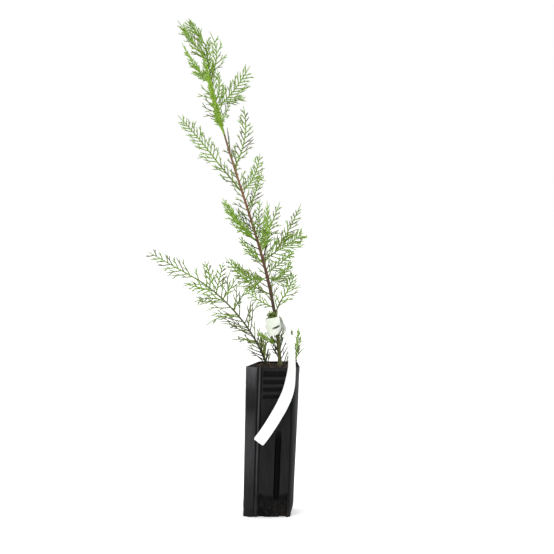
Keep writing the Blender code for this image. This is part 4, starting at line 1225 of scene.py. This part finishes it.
# Strands that stand on a limb itself, between its sprays: limb, from and to (shares of the limb), pitch,
# lengths at the start, middle and end (mm), angle, how far they turn out of the picture's plane, sides
# that they take by turns (1 is left of the limb's run, -1 is right of it), greens
limbStrands = [
    ("low_left_bough", 0.02, 0.2, 2.6, (17, 24, 22), 36, 0.8, (-1, -1), ("olive", "olive", "olive")),
    ("low_left_bough", 0.03, 0.34, 2.9, (18, 24, 30), 44, 0.4, (1, -1), ("dark", "olive", "olive")),
    ("low_left_bough", 0.34, 0.99, 5.8, (38, 36, 20), 50, 0.3, (1, -1), ("olive", "dull", "mid")),
    ("trunk", 0.012, 0.13, 1.8, (24, 22, 16), 32, 1.2, (1, -1), ("dark", "olive", "olive")),
    ("trunk", 0.128, 0.15, 0.8, (9, 9, 8), 34, 1.6, (1, -1), ("dull", "dull", "mid")),
    ("trunk", 0.19, 0.6, 4.4, (19, 22, 16), 46, 0.9, (1, -1), ("dull", "deep", "dull")),
    ("trunk", 0.6, 0.69, 7.0, (12, 12, 10), 40, 0.6, (1, -1), ("dull", "dull", "dull")),
    ("trunk", 0.79, 0.97, 4.6, (13, 14, 11), 44, 1.2, (1, -1), ("dull", "mid", "fresh")),
    ("trunk", 0.765, 0.87, 7.5, (20, 22, 20), 60, 0.3, (1, 1), ("dull", "dull", "mid")),
    ("trunk", 0.88, 0.995, 2.2, (17, 16, 12), 32, 0.8, (1, -1), ("mid", "fresh", "mid")),
    ("base_right_bough", 0.15, 0.95, 3.4, (24, 24, 20), 64, 0.6, (1, 1), ("olive", "olive", "olive")),
    ("right_bough", 0.1, 0.98, 3.0, (22, 27, 25), 46, 0.5, (1, -1), ("mid", "mid", "mid")),
    ("left_bough", 0.3, 0.98, 3.4, (16, 20, 18), 42, 0.6, (1, -1), ("dull", "mid", "mid")),
    ("lower_right_bough", 0.3, 0.98, 3.4, (16, 19, 19), 40, 0.6, (1, -1), ("mid", "mid", "mid")),
    ("high_left_bough", 0.3, 0.98, 3.6, (14, 17, 16), 42, 0.6, (1, -1), ("dull", "mid", "mid")),
]


def growOnLimb(row, crown, room):
    limb, start, stop, pitch, reaches, angle, depth, sides, tints = row
    dice = random.Random(limb + str(start))
    points = limbs[limb]["points"]
    marks = np.array([onCurve(points, start + (stop - start) * i / 20) for i in range(21)])
    count = round(np.linalg.norm(np.diff(marks, axis=0), axis=1).sum() / pitch)
    for i in range(count):
        place = (i + 0.5 * dice.random()) / count
        share = start + (stop - start) * place
        along = alongCurve(points, share)
        flat = unit(np.cross(along, (0, 1, 0)))
        outward = unit(flat * sides[i % 2] + np.array((0, 1.0, 0)) * depth * dice.uniform(-1, 1))
        outward = unit(outward - along * outward.dot(along))
        reach = np.interp(place, (0, 0.5, 1), reaches) * dice.uniform(*foliage["reachSpread"])
        root = onCurve(points, share) + outward * limbRadius(limb, share) * foliage["footInBark"]
        line = strandLine(root, along, outward, angle + foliage["limbSpread"] * dice.uniform(-1, 1), reach)
        # Its foot stands in the bark, so only the part past it has to be clear
        clear = line[2:] if np.linalg.norm(line[1] - root) < 4 else line[1:]
        if room.isFree(clear):
            green = tints[min(2, int(place * 3))]
            crown.add(line, outward, *foliage["branchWidth"], shade(green, place, dice))
            growTwiglets(line, outward, green, dice, crown, room)


def buildFoliage(room):
    crown = Crown()
    for spray in sprays:
        growSpray(spray, crown, room)
    for row in limbStrands:
        growOnLimb(row, crown, room)
    nodesOf = {green: [spray[0] for spray in sprays if spray[8] == green] for green in greens}
    for green, rows in crown.leaves.items():
        points, faces = leafShapes(rows)
        leaves = meshFrom(green + "Leaves", points, faces)
        seat(leaves, leafGreen(green + "Leaf", *greens[green]), "foliage", *nodesOf[green])
        print("leaves:", green, len(faces), "triangles")
    points, faces = zip(*crown.cores)
    cores = joinedMesh("greenTwigs", [spots * mm for spots in points], faces)
    seat(cores, leafGreen("twigGreen", (74, 96, 44), (96, 104, 58)), "foliage")
    print("twigs:", len(cores.data.polygons), "triangles,", round(crown.length / 1000, 1), "m of strands")


# Label: a blank strip of white plastic, looped round the stem, its tail drawn out to the front

label = {
    "height": 252.5, "radius": 11, "loopWidth": 23, "tailWidth": 15.6, "thickness": 0.5,
    "start": -35, "turn": -325,     # degrees: the head's place round the stem, and how far the band goes on
    "opens": 1.6, "narrowing": 6, "shift": -2.4, "lean": 0.05, "slack": 0.45,
    "tail": [(20.5, -16, 250), (26, -27, 240), (28.4, -34, 222), (28.9, -37, 199), (25.2, -37, 173),
             (18, -37, 154), (7.5, -38, 135), (-4.8, -40, 116), (-14.6, -41, 103)],
    "lies": [(-0.25, 0.05, 0.97), (-0.5, 0.55, 0.65), (-0.55, 0.83, 0.1), (-0.62, 0.76, -0.05),
             (-0.86, 0.45, 0.15), (-0.92, 0.15, 0.4), (-0.86, -0.05, 0.52), (-0.83, -0.1, 0.57),
             (-0.82, -0.1, 0.6)],
    "headLong": 10, "headCut": 0.9, "headFrom": -0.12,     # the head's lower corner is cut off at a slant
    "slotLong": 11.2, "slotHigh": 2.9, "slotAt": 7.2, "slotUp": -0.05,
    "slotTilt": 0.22, "slotReach": 12, "slotBand": 0.4,    # its slant, and how far round it that reaches
    "cornerLong": 2.2, "cornerCut": 0.16,                  # the tail's rounded end
    "cup": 1.4, "cupFrom": 20,                             # how far its edges curl, and where that sets in
    "cuts": (260, 24),
}


def smoothRoute(route, share):
    # Catmull-Rom line through the route's points
    spot = share * (len(route) - 1)
    i = min(int(spot), len(route) - 2)
    t = spot - i
    a, b, c, d = (np.array(route[min(max(i + k, 0), len(route) - 1)], float) for k in (-1, 0, 1, 2))
    return (2 * b + (c - a) * t + (2 * a - 5 * b + 4 * c - d) * t**2 + (3 * b - a - 3 * c + d) * t**3) / 2


def labelStops(loopSteps, tailSteps):
    # Middle, width's direction and width, from the head of the loop to the tail's end
    b = label
    points = limbs["trunk"]["points"]
    share = shareAtHeight(points, b["height"])
    stem, up = onCurve(points, share), unit(alongCurve(points, share) - np.array((b["lean"], 0, 0)))
    start, turn = math.radians(b["start"]), math.radians(b["turn"])
    behind = (math.radians(-270) - start) / turn
    backRadius = b["radius"] + b["opens"] * (behind - 0.5) - b["thickness"] / 2
    reach = limbRadius("trunk", share) + joins["clearance"] + b["slack"]
    centre = stem + np.array((b["shift"], reach - math.sqrt(backRadius**2 - b["shift"] ** 2), 0))
    stops = []
    for i in range(loopSteps):
        part = i / (loopSteps - 1)
        angle = start + turn * part
        out = np.array((math.cos(angle), math.sin(angle), 0))
        out -= up * out.dot(up)
        width = b["loopWidth"] + (b["tailWidth"] - b["loopWidth"]) * part ** b["narrowing"]
        stops.append((centre + out * (b["radius"] + b["opens"] * (part - 0.5)), up, width))
    route, lies = [stops[-1][0]] + b["tail"], [up] + b["lies"]
    for i in range(1, tailSteps + 1):
        part = i / tailSteps
        stops.append((smoothRoute(route, part), unit(smoothRoute(lies, part)), b["tailWidth"]))
    return stops


def buildLabel():
    b = label
    middles, lies, widths = (np.array(values) for values in zip(*labelStops(90, 110)))
    marks = np.concatenate([[0], np.cumsum(np.linalg.norm(np.diff(middles, axis=0), axis=1))])
    total = marks[-1]

    def at(run, rows):
        run = min(max(run, 0), total)
        return np.array([np.interp(run, marks, rows[:, k]) for k in range(3)])

    bpy.ops.mesh.primitive_grid_add(x_subdivisions=b["cuts"][0], y_subdivisions=b["cuts"][1], size=1)
    piece = newest("blankLabel")
    openEdit(piece)
    slotX = b["slotAt"] / total - 0.5
    slotLong, slotHigh = b["slotLong"] / total / 2, b["slotHigh"] / b["loopWidth"] / 2
    pickFaces(piece, lambda middle, normal: abs(middle.x - slotX) < slotLong
              and abs(middle.y - b["slotUp"]) < slotHigh)
    bpy.ops.mesh.delete(type="FACE")
    closeEdit()
    for point in piece.data.vertices:
        run, up = (point.co.x + 0.5) * total, point.co.y
        away = run - b["slotAt"]
        slant = max(0.0, 1 - (up / b["slotBand"]) ** 2) * max(0.0, 1 - (away / b["slotReach"]) ** 2)
        up -= b["slotTilt"] * away / b["loopWidth"] * slant
        if up < b["headFrom"]:
            cut = b["headCut"] * max(0.0, 1 - run / b["headLong"]) ** 1.5
            up = b["headFrom"] + (up - b["headFrom"]) * (1 - cut)
        last = max(0.0, b["cornerLong"] - (total - run)) / b["cornerLong"]
        width = np.interp(run, marks, widths) * (1 - b["cornerCut"] * last**2)
        along = unit(at(run + 1, middles) - at(run - 1, middles))
        lie = unit(at(run, lies))
        lie = unit(lie - along * lie.dot(along))
        # A strip that is pulled round a stem is a little cupped across its width
        cup = np.cross(along, lie) * (up * up - 0.08) * b["cup"] * min(1.0, run / b["cupFrom"])
        point.co = Vector(at(run, middles) + lie * up * width + cup) * mm
    wall = piece.modifiers.new("thickness", "SOLIDIFY")
    wall.thickness = b["thickness"] * mm
    wall.offset = 0
    applyModifiers(piece)
    smoothBelow(piece, 45)
    seat(piece, labelWhite(), "label_plastic", "label")
    print("label:", round(total), "mm long")


# Building it all

buildStudio()
buildPot()
buildCompost()
addSideBoughs()

knots = knotsOnLimbs()
stemBark, boughBark = barkLook("barkBrown"), barkLook("boughBrown")
for name in limbs:
    buildLimb(name, stemBark if name == "trunk" else boughBark, knots[name])
print("bark:", len(limbs), "limbs")

buildFoliage(Room(labelStops(15, 12)))
buildLabel()
